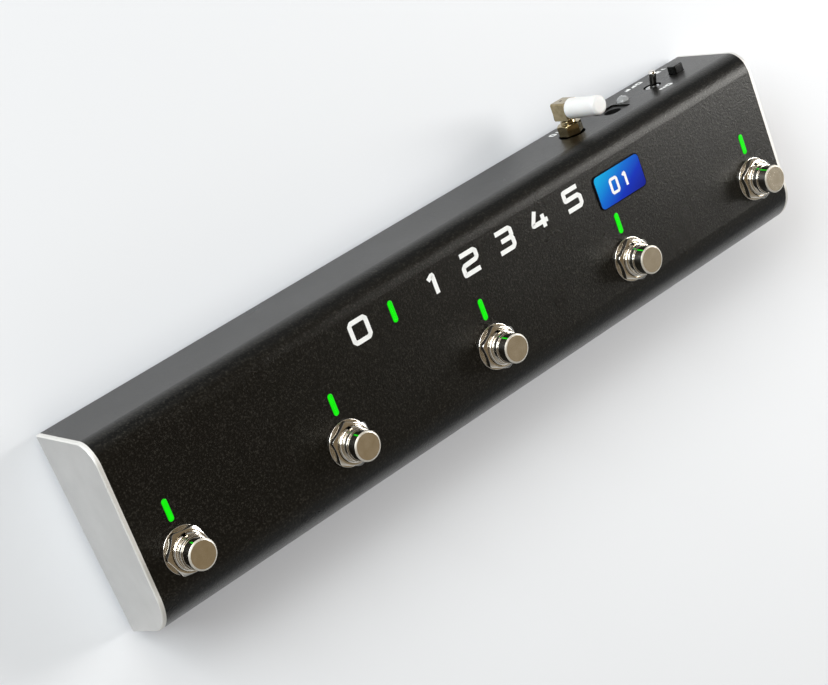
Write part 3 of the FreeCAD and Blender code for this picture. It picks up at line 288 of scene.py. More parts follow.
class Paint:
    """Node material around one Principled shader; plain values sit on its sockets."""

    def __init__(self, name, **values):
        self.material = bpy.data.materials.new(name)
        self.material.use_nodes = True
        self.tree = self.material.node_tree
        self.tree.nodes.clear()
        self.shader = self.tree.nodes.new("ShaderNodeBsdfPrincipled")
        self.end = self.tree.nodes.new("ShaderNodeOutputMaterial")
        self.tree.links.new(self.shader.outputs[0], self.end.inputs[0])
        self.place = self.tree.nodes.new("ShaderNodeTexCoord").outputs["Object"]
        for key, value in values.items():
            self.shader.inputs[key.replace("_", " ")].default_value = value

    def node(self, kind, inputs=(), **settings):
        """Node with its settings and its inputs filled by links or values."""
        made = self.tree.nodes.new(kind)
        for key, value in settings.items():
            setattr(made, key, value)
        for key, value in dict(inputs).items():
            self.put(made.inputs[key], value)
        return made

    def put(self, socket, value):
        if isinstance(value, bpy.types.NodeSocket):
            self.tree.links.new(value, socket)
        else:
            socket.default_value = value

    def stretched(self, scale):
        """Object coordinates scaled apart along the axes."""
        made = self.node("ShaderNodeMapping", {"Vector": self.place, "Scale": scale})
        return made.outputs[0]

    def noise(self, size, detail=2.0, rough=0.5, place=None):
        """Noise with features of a size in millimetres."""
        made = self.node("ShaderNodeTexNoise", {
            "Vector": place or self.place, "Scale": 1 / (size * MM), "Detail": detail,
            "Roughness": rough})
        return made.outputs["Fac"]

    def cells(self, size):
        """Cells of a size in millimetres, as the distance from each middle."""
        made = self.node("ShaderNodeTexVoronoi", {"Vector": self.place, "Scale": 1 / (size * MM)})
        return made.outputs["Distance"]

    def span(self, value, low, high, start=0.3, end=0.7):
        """Value between start and end mapped to low and high."""
        made = self.node("ShaderNodeMapRange", {"Value": value, "From Min": start, "From Max": end,
                                                "To Min": low, "To Max": high})
        return made.outputs[0]

    def blend(self, share, first, second):
        """Colour between two, each a colour or a socket."""
        made = self.node("ShaderNodeMix", data_type="RGBA")
        factor, colour_a, colour_b, colour_out = 0, 6, 7, 2
        for index, value in ((factor, share), (colour_a, first), (colour_b, second)):
            if not isinstance(value, (float, int, bpy.types.NodeSocket)):
                value = tuple(value) + (1.0,) * (4 - len(value))
            self.put(made.inputs[index], value)
        return made.outputs[colour_out]

    def mottled(self, share, first, second):
        """Colour that follows a noise between two colours."""
        return self.blend(self.span(share, 0.0, 1.0), first, second)

    def rubbed(self, reach, share, tone, bare):
        """Colour that turns to a bare one on edges within a reach in millimetres."""
        return self.blend(self.maths("MULTIPLY", self.edge(reach), share), tone, bare)

    def maths(self, operation, first, second=0.0):
        made = self.node("ShaderNodeMath", {0: first, 1: second}, operation=operation)
        return made.outputs[0]

    def edge(self, reach):
        """Mask that is high on edges, from normals rounded over a reach in millimetres."""
        rounded = self.node("ShaderNodeBevel", {"Radius": reach * MM}, samples=4).outputs[0]
        true = self.node("ShaderNodeNewGeometry").outputs["Normal"]
        dot = self.node("ShaderNodeVectorMath", {0: rounded, 1: true}, operation="DOT_PRODUCT")
        return self.span(dot.outputs["Value"], 1.0, 0.0, 0.75, 0.995)

    def bump(self, height, depth, under=None, strength=1.0):
        """Bump of a depth in millimetres; under is another bump's normal."""
        made = self.node("ShaderNodeBump", {
            "Height": height, "Distance": depth * MM, "Strength": strength})
        if under is not None:
            self.put(made.inputs["Normal"], under)
        return made.outputs[0]

    def use(self, **sockets):
        """Puts values or links on the shader and gives the material."""
        for key, value in sockets.items():
            self.put(self.shader.inputs[key.replace("_", " ")], value)
        return self.material


def fill_ramp(ramp, stops):
    """Fills a colour ramp from (position, colour) stops."""
    while len(ramp.color_ramp.elements) < len(stops):
        ramp.color_ramp.elements.new(0.5)
    for element, (where, tone) in zip(ramp.color_ramp.elements, stops):
        element.position = where
        element.color = tone + (1.0,)


def powder_coat():
    """Fine black sand-textured coat, slightly bare on its edges."""
    p = Paint("coat", IOR=1.62, Specular_Tint=(0.50, 0.49, 0.46, 1.0))
    sand = p.noise(0.75, 3, 0.75)
    wide = p.noise(26, 3, 0.5)
    grains = p.span(sand, 0.0, 1.0, 0.52, 0.68)
    tone = p.blend(grains, (0.0002, 0.0002, 0.0001), (0.025, 0.023, 0.019))
    return p.use(Base_Color=p.rubbed(0.25, 0.2, tone, (0.03, 0.028, 0.025)),
                 Roughness=p.span(wide, 0.27, 0.31), Normal=p.bump(sand, 0.11, strength=0.9))


def satin_aluminium():
    """Blasted bare aluminium."""
    p = Paint("plate_face", Metallic=1.0)
    blast = p.noise(0.16, 2, 0.6)
    cloud = p.noise(9, 4, 0.55)
    tone = p.mottled(cloud, (0.60, 0.592, 0.575), (0.66, 0.652, 0.635))
    return p.use(Base_Color=tone, Roughness=p.span(cloud, 0.40, 0.47), Normal=p.bump(blast, 0.006))


def cut_aluminium():
    """Aluminium with the fine lines of a cutter."""
    p = Paint("plate_rim", Metallic=0.55)
    line = p.noise(0.25, 3, 0.6, p.stretched((6, 1, 1)))
    tone = p.mottled(line, (0.70, 0.69, 0.66), (0.80, 0.79, 0.76))
    return p.use(Base_Color=tone, Roughness=p.span(line, 0.52, 0.64), Normal=p.bump(line, 0.006))


def plated(name, low, high, rough, wave=0.0007, shine=1.12):
    """Bright plating with faint smudges, rubbed edges and a slightly uneven surface."""
    p = Paint(name, Metallic=1.0)
    smudge = p.noise(1.7, 4, 0.6)
    fine = p.noise(0.5, 2, 0.5)
    tone = p.mottled(smudge, low, high)
    return p.use(Base_Color=p.rubbed(0.12, 0.5, tone, [min(1.0, c * shine) for c in high]),
                 Roughness=p.span(smudge, *rough), Normal=p.bump(fine, wave))


def turned_top():
    """Satin top of a switch cap with fine rings from the lathe."""
    p = Paint("cap_top", Metallic=1.0)
    ring_pitch = 0.14
    radius = p.node("ShaderNodeAttribute", attribute_name="from_axis").outputs["Fac"]
    rings = p.maths("SINE", p.maths("MULTIPLY", radius, 2 * math.pi / ring_pitch))
    blast = p.noise(0.12, 2, 0.6)
    cloud = p.noise(2.6, 3, 0.5)
    tone = p.mottled(cloud, (0.87, 0.80, 0.67), (0.94, 0.87, 0.74))
    bumps = p.bump(blast, 0.003, under=p.bump(rings, 0.0008))
    return p.use(Base_Color=tone, Roughness=p.span(cloud, 0.14, 0.18), Normal=bumps)


def buffed_edge():
    """Pale scoured bevel around a switch cap."""
    p = Paint("cap_edge", Metallic=0.8)
    fine = p.noise(0.2, 2, 0.6)
    tone = p.mottled(fine, (0.76, 0.72, 0.635), (0.86, 0.82, 0.735))
    return p.use(Base_Color=tone, Roughness=p.span(fine, 0.36, 0.46), Normal=p.bump(fine, 0.003))


def moulded(name, low, high, rough=(0.42, 0.5), grain=0.25, depth=0.01, **values):
    """Plastic or rubber with a fine moulded grain."""
    p = Paint(name, **values)
    fine = p.noise(grain, 2, 0.6)
    cloud = p.noise(5, 4, 0.55)
    tone = p.mottled(cloud, low, high)
    return p.use(Base_Color=p.rubbed(0.15, 0.3, tone, [min(1.0, c * 1.4 + 0.01) for c in high]),
                 Roughness=p.span(cloud, *rough), Normal=p.bump(fine, depth))


def lit_bar():
    """Light pipe glowing green, its glow and colour darkened towards its rim as painted shade of the
    gap around its slot.
    """
    p = Paint("lit_pipe", Roughness=0.35, IOR=1.49, Specular_IOR_Level=0.12, Emission_Strength=1.0)
    streak = p.noise(0.7, 2, 0.5, p.stretched((1, 0.35, 1)))
    # The rim mask darkens the glow and the base colour: painted shade of the gap around the slot.
    rim = p.edge(0.5)
    glow = p.blend(rim, p.mottled(streak, (0.004, 0.78, 0.002), (0.008, 0.90, 0.005)),
                   (0.0, 0.36, 0.001))
    base = p.blend(rim, (0.001, 0.04, 0.001), (0.001, 0.02, 0.001))
    return p.use(Base_Color=base, Emission_Color=glow)


def badge_face():
    """Printed plate that runs from light to deep blue."""
    p = Paint("badge_print", Roughness=0.34, IOR=1.5, Specular_IOR_Level=0.1)
    per_metre_along, per_metre_across, start = 26.0, -44.0, 1.06
    axes = p.node("ShaderNodeSeparateXYZ", {0: p.place})
    along = p.maths("MULTIPLY", axes.outputs["X"], per_metre_along)
    across = p.maths("MULTIPLY", axes.outputs["Y"], per_metre_across)
    slope = p.maths("ADD", along, across)
    speck = p.noise(0.3, 2, 0.6)
    slope = p.maths("ADD", slope, p.maths("MULTIPLY", speck, 0.05))
    ramp = p.node("ShaderNodeValToRGB", {0: p.span(slope, 0.0, 1.0, start, start + 1.0)})
    fill_ramp(ramp, ((0.0, (0.001, 0.36, 0.70)), (0.35, (0.001, 0.13, 0.58)),
                     (0.65, (0.001, 0.026, 0.44)), (1.0, (0.001, 0.006, 0.22))))
    return p.use(Base_Color=ramp.outputs[0], Normal=p.bump(speck, 0.002))


def clear_lens():
    """Slightly milky clear plastic."""
    p = Paint("clear_dome", IOR=1.52, Transmission_Weight=0.6)
    fine = p.noise(1.6, 2, 0.5)
    tone = p.mottled(fine, (0.56, 0.57, 0.57), (0.62, 0.63, 0.63))
    return p.use(Base_Color=tone, Roughness=p.span(fine, 0.08, 0.13), Normal=p.bump(fine, 0.0006))


def board_face():
    """Green solder mask over tracks."""
    p = Paint("board_mask", IOR=1.5, Coat_Weight=0.3, Coat_Roughness=0.2)
    track_pitch = 5.2
    tracks = p.node("ShaderNodeTexBrick", {
        "Vector": p.place, "Scale": 1 / (track_pitch * MM), "Mortar Size": 0.05}).outputs["Fac"]
    cloud = p.noise(3.0, 3, 0.5)
    tone = p.blend(tracks, p.mottled(cloud, (0.004, 0.060, 0.022), (0.006, 0.085, 0.030)),
                   (0.016, 0.17, 0.065))
    return p.use(Base_Color=tone, Roughness=p.span(cloud, 0.34, 0.46), Normal=p.bump(tracks, 0.03))


def wrapped_cell():
    """Battery wrap with a generic two-tone band."""
    p = Paint("cell_film", Coat_Weight=0.5, Coat_Roughness=0.12)
    band_x, blur = 0.0225, 0.0002
    axes = p.node("ShaderNodeSeparateXYZ", {0: p.place})
    along = p.span(axes.outputs["X"], 0.0, 1.0, band_x, band_x + blur)
    film = p.noise(0.8, 3, 0.5)
    tone = p.blend(along, (0.62, 0.34, 0.06), (0.012, 0.012, 0.013))
    tone = p.blend(p.maths("MULTIPLY", film, 0.15), tone, (0.2, 0.18, 0.15))
    return p.use(Base_Color=tone, Roughness=p.span(film, 0.25, 0.36), Normal=p.bump(film, 0.006))


def zinc():
    """Zinc-plated sheet with a faint spangle."""
    p = Paint("zinc_sheet", Metallic=1.0)
    spangle = p.cells(1.4)
    tone = p.blend(p.span(spangle, 0.0, 1.0, 0.0, 0.8), (0.46, 0.47, 0.48), (0.58, 0.59, 0.60))
    return p.use(Base_Color=tone, Roughness=p.span(spangle, 0.32, 0.44, 0.0, 0.8),
                 Normal=p.bump(spangle, 0.004))


NICKEL = plated("nickel_plate", (0.72, 0.68, 0.61), (0.84, 0.805, 0.74), (0.10, 0.15), 0.0001)
CAP_SIDE = plated("cap_side", (0.68, 0.65, 0.59), (0.80, 0.77, 0.71), (0.06, 0.11))
CAP_TOP = turned_top()
CAP_EDGE = buffed_edge()
GREEN = lit_bar()
# Dark green for the head's outer rim: painted shade of the gap around the slot.
GREEN_RIM_SHADE = moulded("light_rim_painted_shade", (0.002, 0.05, 0.002), (0.004, 0.08, 0.004), (0.3, 0.4))
PRINT = moulded("white_print", (0.82, 0.83, 0.82), (0.90, 0.91, 0.90), (0.45, 0.55), 0.3, 0.006)
BADGE = badge_face()
# Near-black badge sides: painted shadow line around the badge.
BADGE_SIDE_SHADE = moulded("badge_side_painted_shade", (0.001, 0.0015, 0.004), (0.002, 0.003, 0.008), (0.6, 0.7), IOR=1.2)
PLATE_FACE = satin_aluminium()
PLATE_RIM = cut_aluminium()
BRASS = plated("warm_nickel", (0.29, 0.235, 0.13), (0.43, 0.355, 0.215), (0.11, 0.19), 0.001, 2.2)
SHEATH = moulded("sheath_skin", (0.68, 0.68, 0.668), (0.73, 0.73, 0.718), (0.34, 0.42), 0.4,
                 0.006, Subsurface_Weight=0.08, Subsurface_Scale=0.002)
DARK = moulded("recess_shadow", (0.004, 0.004, 0.004), (0.007, 0.007, 0.007), (0.6, 0.7))
BUTTON = moulded("button_cap_skin", (0.0008, 0.0010, 0.0008), (0.002, 0.0022, 0.002),
                 (0.2, 0.28), IOR=1.3)
LEVER = plated("lever_plate", (0.11, 0.108, 0.10), (0.18, 0.175, 0.165), (0.16, 0.24), 0.0004)
# Bright plating for the lever's tip: painted highlight.
LEVER_TIP_HIGHLIGHT = plated("lever_tip_painted_highlight", (0.72, 0.70, 0.66), (0.84, 0.82, 0.78), (0.1, 0.16))
SPRING = plated("spring_wire", (0.42, 0.42, 0.42), (0.55, 0.55, 0.55), (0.22, 0.3))

BY_SLOT = {
    "black_powder_coat": powder_coat(),
    "bare_aluminium": PLATE_FACE,
    "zinc_steel": zinc(),
    "black_sheet": moulded("cover_paint", (0.010, 0.010, 0.010), (0.016, 0.016, 0.016),
                           (0.45, 0.55), 0.3, 0.02),
    "black_screw": plated("screw_black", (0.05, 0.05, 0.052), (0.09, 0.09, 0.092), (0.28, 0.4)),
    "foot_rubber": moulded("foot_rubber_skin", (0.012, 0.012, 0.012), (0.02, 0.02, 0.02),
                           (0.7, 0.82), 0.5, 0.03),
    "black_plastic": moulded("black_moulding", (0.004, 0.004, 0.004), (0.008, 0.008, 0.008),
                             (0.38, 0.48)),
    "cell_wrap": wrapped_cell(),
    "contact_metal": plated("contact_plate_metal", (0.55, 0.54, 0.5), (0.68, 0.67, 0.63),
                            (0.2, 0.3)),
    "button_black": BUTTON,
    "badge_blue": BADGE,
    "nickel": NICKEL,
    "plunger_nickel": CAP_SIDE,
    "dark_chrome": plated("bushing_plate", (0.55, 0.53, 0.49), (0.68, 0.66, 0.62), (0.1, 0.17)),
    "tinned_brass": plated("tin", (0.62, 0.60, 0.54), (0.72, 0.70, 0.64), (0.25, 0.35)),
    "spring_steel": SPRING,
    "housing_blue": moulded("switch_housing_skin", (0.010, 0.05, 0.20), (0.014, 0.065, 0.25),
                            (0.35, 0.45)),
    "board_green": board_face(),
    "chip_black": moulded("chip_epoxy", (0.012, 0.012, 0.013), (0.02, 0.02, 0.021), (0.5, 0.62)),
    "shield_can": plated("shield_tin", (0.60, 0.60, 0.58), (0.70, 0.70, 0.68), (0.28, 0.38)),
    "diode_body": moulded("diode_white", (0.70, 0.70, 0.62), (0.78, 0.78, 0.70), (0.4, 0.5)),
    "lens_clear": clear_lens(),
    "lit_green": GREEN,
    "gold_brass": BRASS,
    "sheath_white": SHEATH,
}
for node in frame["nodes"].values():
    for place in node.material_slots:
        place.material = BY_SLOT[place.material.name.split(".")[0]]


# End plates

def section():
    """Outline of the housing's cross section in panel v and n."""
    front_reach, front_lean, rear_height, foot_height = 20.1, 11.7, 34.5, 3.0
    rear_round, front_round, bottom_round = 7.7, 13.8, 0.6
    lean = math.tan(math.radians(front_lean))
    sine, cosine = math.sin(TILT), math.cos(TILT)
    low_n = (foot_height - ROW_HEIGHT + front_reach * sine) / (lean * sine + cosine)
    corners = [(REAR_REACH, -rear_height), (REAR_REACH, 0), (-front_reach, 0),
               (-front_reach + lean * low_n, low_n)]
    return soften(corners, [bottom_round, rear_round, front_round, bottom_round], 28)


# Turns an outline in v and n so that its height runs along x.
SIDEWAYS = Matrix(((0, 0, 1, 0), (1, 0, 0, 0), (0, 1, 0, 0), (0, 0, 0, 1)))


def end_plate(side, name):
    """Plate whose outer rim is cut bright."""
    outline = section()
    face = HALF_LENGTH + END_PLATE
    steps = [(0.0, HALF_LENGTH), (0.0, face - END_BEVEL - 0.06), (0.025, face - END_BEVEL),
             (END_BEVEL - 0.03, face - 0.045), (END_BEVEL + 0.03, face)]
    rings = [ring(inset(outline, shrink) if shrink else outline, side * x) for shrink, x in steps]
    shape = Shape().stack(rings, PANEL @ SIDEWAYS, marks=[1, 1, 1, 1])
    shape.marks[-2:] = [0, 0]
    piece(name + "_dressed", shape, "housing", [PLATE_FACE, PLATE_RIM], [name],
          sharp=24)


end_plate(-1, "left_end_plate")
end_plate(1, "right_end_plate")


# Footswitches

def square(half):
    """Radius of a square at an angle, its sides half a width from the middle."""
    return lambda a: half / max(abs(math.cos(a)), abs(math.sin(a)))


def hex_radius(flats, turn, corner):
    """Radius of a hexagon at an angle in radians, with its corners trimmed."""
    def radius(a):
        local = (math.degrees(a) - turn - 30) % 60
        local = local if local <= 30 else local - 60
        return min(flats / 2 / math.cos(math.radians(local)), corner)
    return radius


def nut_rings(flats, low, high, turn, bore, angles, face_r):
    """Closed rings of a chamfered nut."""
    corner_trim, chamfer_angle, blunt = 0.972, 30, 0.08
    full = hex_radius(flats, turn, flats / math.sqrt(3) * corner_trim)
    slope = math.tan(math.radians(chamfer_angle))

    def drop(shrink):
        return lambda a: (full(a) - shrink - face_r) * slope
    return [
        polar(bore, low, angles), polar(face_r, low, angles),
        polar(lambda a: full(a) - blunt, lambda a: low + drop(blunt)(a), angles),
        polar(full, lambda a: low + drop(0)(a) + blunt, angles),
        polar(full, lambda a: high - drop(0)(a) - blunt, angles),
        polar(lambda a: full(a) - blunt, lambda a: high - drop(blunt)(a), angles),
        polar(face_r + 0.04, high - 0.03, angles), polar(face_r - 0.06, high, angles),
        polar(bore + 0.32, high, angles), polar(bore, high - 0.3, angles),
    ]


def bushing(x, number):
    """Threaded bushing, its keyway, collar and mounting frame."""
    radius, rise, collar, top, bore = 5.95, 4.45, 5.4, 6.85, 5.06
    key_half, key_floor, key_blend = 0.75, radius - 0.55, 0.004
    frame_half, frame_blunt, frame = 8.5, 0.1, 1.0
    pitch, depth, runout, start, end, steps = 0.75, 0.12, 0.3, -2.0, rise - 0.45, 44
    rear = math.pi / 2
    half_angle = math.asin(key_half / radius)
    key_sides = [rear + s * (half_angle + e) for s in (-1, 1) for e in (-key_blend, key_blend)]
    angles = sorted(even_angles(120) + key_sides)

    def keyed(r):
        def at_angle(a):
            off = abs(a - rear)
            return min(r, key_floor / math.cos(off)) if off < half_angle else r
        return at_angle

    def thread(h):
        def at_angle(a):
            if abs(a - rear) <= half_angle:
                return keyed(radius)(a)
            turn = (h / pitch - a / (2 * math.pi)) % 1.0
            fade = min(1.0, (end - h) / runout, (h - start) / runout)
            return radius - max(0.0, depth * (1 - abs(2 * turn - 1)) * fade)
        return at_angle
    frame_profile = [(frame_half - frame_blunt, 0.0), (frame_half, frame_blunt),
                     (frame_half, frame - frame_blunt), (frame_half - frame_blunt, frame)]
    rings = [polar(bore, FRAME_UNDER, angles)]
    rings += [polar(square(half), FRAME_UNDER + h, angles) for half, h in frame_profile]
    rings += [polar(keyed(radius), h, angles) for h in (FRAME_UNDER + frame, start)]
    for k in range(1, steps):
        h = start + (end - start) * k / steps
        rings.append(polar(thread(h), h, angles))
    shoulder = [(0.0, end), (0.0, rise - 0.4), (0.06, rise - 0.3), (0.36, rise - 0.03), (0.44, rise)]
    rings += [polar(keyed(radius - shrink), h, angles) for shrink, h in shoulder]
    wall = soften([(collar, rise), (collar, top), (bore, top), (bore, rise)], [0, 0.2, 0.1, 0], 4,
                  False)
    rings += [polar(r, h, angles) for r, h in wall]
    piece("switch_bushing_%d_dressed" % number,
          Shape().stack(rings, on_panel(x, 0), closed=True), "housing", [NICKEL],
          ["switch_bushing_%d" % number], sharp=28)


def plunger(x, number):
    """Push cap with a bevelled satin top and a retaining flange."""
    flange_low = FRAME_UNDER - FLANGE
    bore, bevel_width, bevel_height, side_high = 3.2, 0.55, 0.35, 9.0
    side = [(0, PLUNGER_ROOF), (bore, PLUNGER_ROOF), (bore, flange_low), (FLANGE_R, flange_low),
            (FLANGE_R, FRAME_UNDER), (PLUNGER_R, FRAME_UNDER), (PLUNGER_R, side_high)]
    corners = [(PLUNGER_R, side_high), (PLUNGER_R, PLUNGER_TOP - bevel_height),
               (PLUNGER_R - bevel_width, PLUNGER_TOP), (0.0, PLUNGER_TOP)]
    bevel = soften(corners, [0, 0.12, 0.1, 0], 3, False)[1:-1]
    tops = [(r, PLUNGER_TOP) for r in (4.25, 3.0, 1.5, 0.0)]
    profile = side + bevel + tops
    marks = [0] * len(side) + [2] * (len(bevel) - 1) + [1] * len(tops)
    place = on_panel(x, 0)
    piece("switch_plunger_%d_dressed" % number, Shape().lathe(profile, place, marks=marks),
          "plunger_%d" % number, [CAP_SIDE, CAP_TOP, CAP_EDGE],
          ["switch_plunger_%d" % number], sharp=24, axis=place)


def spring(x, number):
    """Coil inside the plunger."""
    low, high = FRAME_UNDER - CAVITY_DEPTH, PLUNGER_ROOF
    wire, mean, turns, steps = 0.3, 2.7, 8.5, 26
    total = int(turns * steps)
    rings = []
    for k in range(total + 1):
        share = k / total
        # The first and last turns lie flat.
        travel = min(1.0, max(0.0, (share * turns - 1) / (turns - 2)))
        h = low + wire + (high - low - 2 * wire) * travel
        a = 2 * math.pi * turns * share
        centre = Vector((mean * math.cos(a), mean * math.sin(a), h))
        out = Vector((math.cos(a), math.sin(a), 0))
        rings.append([centre + out * (wire * math.cos(t)) + Vector((0, 0, wire * math.sin(t)))
                      for t in even_angles(8)])
    made = piece("switch_spring_%d_dressed" % number, Shape().stack(rings, on_panel(x, 0)),
                 "housing", [SPRING], ["switch_spring_%d" % number], sharp=50)
    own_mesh(made)


def bar_outline(width, length):
    """Outline with round ends, its long side along v."""
    return soften(rectangle(width, length), width / 2 * 0.998, 14)


def light_bar(x, v, name):
    """Light pipe from its source to the panel, its head domed and a little wider than its slot."""
    diode_height, diode_gap, wall, collar_height, proud = 1.9, 0.25, 2.0, 1.2, 0.01
    base = BOARD_TOP + diode_height + diode_gap
    collar_low = -wall - collar_height
    outline = bar_outline(2.0, 7.7)
    collar = bar_outline(3.8, 9.5)
    head = bar_outline(2.16, 7.8)
    rings = [ring(outline, base), ring(outline, collar_low), ring(collar, collar_low),
             ring(collar, -wall), ring(outline, -wall), ring(outline, proud), ring(head, proud)]
    rings += [ring(inset(head, shrink), h)
              for shrink, h in ((0.05, 0.05), (0.22, 0.09), (0.6, 0.12))]
    # Marks 1 put the dark green on the head's outer rim bands as painted shade.
    marks = [0, 0, 0, 0, 0, 1, 1, 0, 0]
    piece(name + "_dressed", Shape().stack(rings, on_panel(x, v), marks=marks), "housing",
          [GREEN, GREEN_RIM_SHADE], [name])


nuts = Shape()
washers = Shape()
for number, (x, turn) in enumerate(zip(ROW_X, NUT_TURNS), start=1):
    bushing(x, number)
    plunger(x, number)
    spring(x, number)
    light_bar(x, LIGHT_V, "light_pipe_%d" % number)
    nuts.stack(nut_rings(NUT_FLATS, WASHER_TOP, NUT_TOP, turn, 5.98, even_angles(360), 6.75),
               on_panel(x, 0), closed=True)
    rim = soften([(6.1, 0.0), (WASHER_R, 0.0), (WASHER_R, WASHER_TOP), (6.1, WASHER_TOP)],
                 [0, 0.05, 0.2, 0.05], 4)
    washers.lathe([tuple(p) for p in rim], on_panel(x, 0), closed=True)
light_bar(STATUS_X, STATUS_V, "status_light_pipe")
piece("switch_nuts_dressed", nuts, "housing", [NICKEL], ["switch_nuts"], sharp=24)
piece("switch_washers_dressed", washers, "housing", [NICKEL], ["switch_washers"])


# Marks on the panel: plain numbers, and ON and OFF at the rear switch

# Each character is a list of strokes: points in a unit box, and whether the stroke is closed.
GLYPHS = {
    "0": [([(0, 0.12), (0, 0.88), (0.12, 1), (0.88, 1), (1, 0.88), (1, 0.12), (0.88, 0),
            (0.12, 0)], True)],
    "1": [([(0.22, 0.80), (0.56, 1.0), (0.56, 0)], False)],
    "2": [([(0, 1), (0.88, 1), (1, 0.9), (1, 0.62), (0.88, 0.52), (0.12, 0.46), (0, 0.36), (0, 0),
            (1, 0)], False)],
    "3": [([(0, 1), (0.88, 1), (1, 0.9), (1, 0.62), (0.88, 0.52), (0.25, 0.52)], False),
          ([(0.88, 0.52), (1, 0.42), (1, 0.12), (0.88, 0), (0, 0)], False)],
    "4": [([(0.34, 1), (0, 0.32), (1.02, 0.32)], False), ([(0.74, 0), (0.74, 0.68)], False)],
    "5": [([(0.98, 1), (0, 1), (0, 0.56), (0.86, 0.56), (1, 0.44), (1, 0.12), (0.88, 0),
            (0, 0)], False)],
    "N": [([(0, 0), (0, 1), (1, 0), (1, 1)], False)],
    "F": [([(1, 1), (0, 1), (0, 0)], False), ([(0, 0.52), (0.8, 0.52)], False)],
}
GLYPHS["O"] = GLYPHS["0"]


def pen_sides(line, closed, pen):
    """Points to both sides of each point of a line, mitred at its corners."""
    count = len(line)
    sides = []
    for i, p in enumerate(line):
        before = line[i - 1] if closed or i else None
        after = line[(i + 1) % count] if closed or i < count - 1 else None
        a = (p - before).normalized() if before is not None else (after - p).normalized()
        b = (after - p).normalized() if after is not None else a
        across = Vector((-(a + b).y, (a + b).x)).normalized()
        reach = pen / 2 / max(0.45, across.dot(Vector((-a.y, a.x))))
        sides.append((p + across * reach, p - across * reach))
    return sides


def strokes(shape, text, left, low, width, height, pitch, pen, place, lift=0.0):
    """Characters drawn with a flat pen, as thin raised print; later strokes lie on earlier ones."""
    sunk, proud, layer_step = 0.03, 0.02, 0.008
    for index, letter in enumerate(text):
        for layer, (path, closed) in enumerate(GLYPHS.get(letter, [])):
            points = [Vector((left + index * pitch + pen / 2 + a * (width - pen),
                              low + pen / 2 + b * (height - pen))) for a, b in path]
            line = soften([tuple(p) for p in points], [pen * 0.22] * len(points), 2, closed)
            sides = pen_sides(line, closed, pen)
            for i in range(len(line) if closed else len(line) - 1):
                j = (i + 1) % len(line)
                flat = [sides[i][0], sides[i][1], sides[j][1], sides[j][0]]
                shape.stack([ring(flat, lift - sunk), ring(flat, lift + proud + layer_step * layer)],
                            place)


def print_piece(name, shape):
    """White print as one piece on the housing."""
    piece(name, shape, "housing", [PRINT], sharp=30)


panel_marks = Shape()
strokes(panel_marks, "0 12345", -51.4, 26.3, 8.4, 8.5, 16.35, 1.64, on_panel(0, 0))
print_piece("panel_numbers", panel_marks)

rear_marks = Shape()
rear_place = on_rear(0, 0) @ Matrix.Rotation(math.pi, 4, "Z")
for text, left, low, width, height, pitch, pen in (
        ("ON", -119.7, -12.7, 2.7, 2.4, 3.2, 0.68), ("OFF", -122.4, -31.4, 2.8, 2.5, 3.3, 0.70),
        ("10", -78.4, -30.7, 2.3, 3.1, 2.7, 0.74), ("12", -135.7, -31.4, 2.6, 2.5, 3.1, 0.70)):
    strokes(rear_marks, text, left, low, width, height, pitch, pen, rear_place)
print_piece("rear_words", rear_marks)


# Badge

badge = Shape()
badge_outline = soften(rectangle(23.1, 12.8), 2.0, 12)
badge_place = on_panel(BADGE_X, BADGE_V)
rings = [ring(badge_outline, 0.0), ring(badge_outline, BADGE_TOP - 0.12)]
rings += [ring(inset(badge_outline, shrink), BADGE_TOP - below)
          for shrink, below in ((0.06, 0.04), (0.14, 0.0), (0.42, 0.0))]
badge.stack(rings, badge_place)
# The sides and bevel keep the near-black painted shadow; the top takes the print.
badge.marks[-1] = 1
piece("badge_dressed", badge, "housing", [BADGE_SIDE_SHADE, BADGE], ["badge"])
badge_marks = Shape()
strokes(badge_marks, "01", -4.9, -3.0, 4.2, 6.0, 5.6, 1.05, badge_place, BADGE_TOP)
print_piece("badge_numbers", badge_marks)


# Rear fittings

def button():
    """Push button cap with its stem."""
    cap_low, cap_high, stem_low, stem_r = -3.2, 2.92, -7.5, 1.4
    place = on_rear(BUTTON_X)
    shape = Shape()
    shape.slab(soften(rectangle(5.04, 4.04), 1.0, 8), cap_low, cap_high, place, 0.35, 5)
    shape.lathe([(0, stem_low), (stem_r - 0.1, stem_low), (stem_r, stem_low + 0.1),
                 (stem_r, cap_low + 0.01), (0, cap_low + 0.01)], place, count=40)
    piece("button_cap_dressed", shape, "button", [BUTTON], ["button_cap"])


def toggle():
    """Bat lever with its ball, leaning up, its tip painted bright as a highlight."""
    ball, tail, tip = 1.5, -3.5, 8.6
    place = on_rear(TOGGLE_X, v=REAR_REACH - TOGGLE_SUNK)
    place = place @ Matrix.Rotation(math.radians(TOGGLE_LEAN), 4, "X")
    arc = [math.radians(a) for a in range(-62, 37, 7)]
    end = soften([(0, tail), (0.7, tail), (0.7, -1.3)], [0, 0.4, 0], 4, False)
    bat = soften([(1.2, 1.1), (1.45, tip), (0, tip)], [0, 1.0, 0], 6, False)
    shank = [(0, tail)] + end[1:-1]
    shank += [(ball * math.cos(a), ball * math.sin(a)) for a in arc] + bat[:2]
    profile = shank + bat[2:]
    bands = len(shank) - 1
    # Marks 1 give the bat's end the bright tip colour, a painted highlight.
    marks = [0] * bands + [1] * (len(profile) - bands)
    piece("toggle_lever_dressed", Shape().lathe(profile, place, marks=marks, count=48), "toggle",
          [LEVER, LEVER_TIP_HIGHLIGHT], ["toggle_lever"], sharp=40)


button()
toggle()


# Antenna

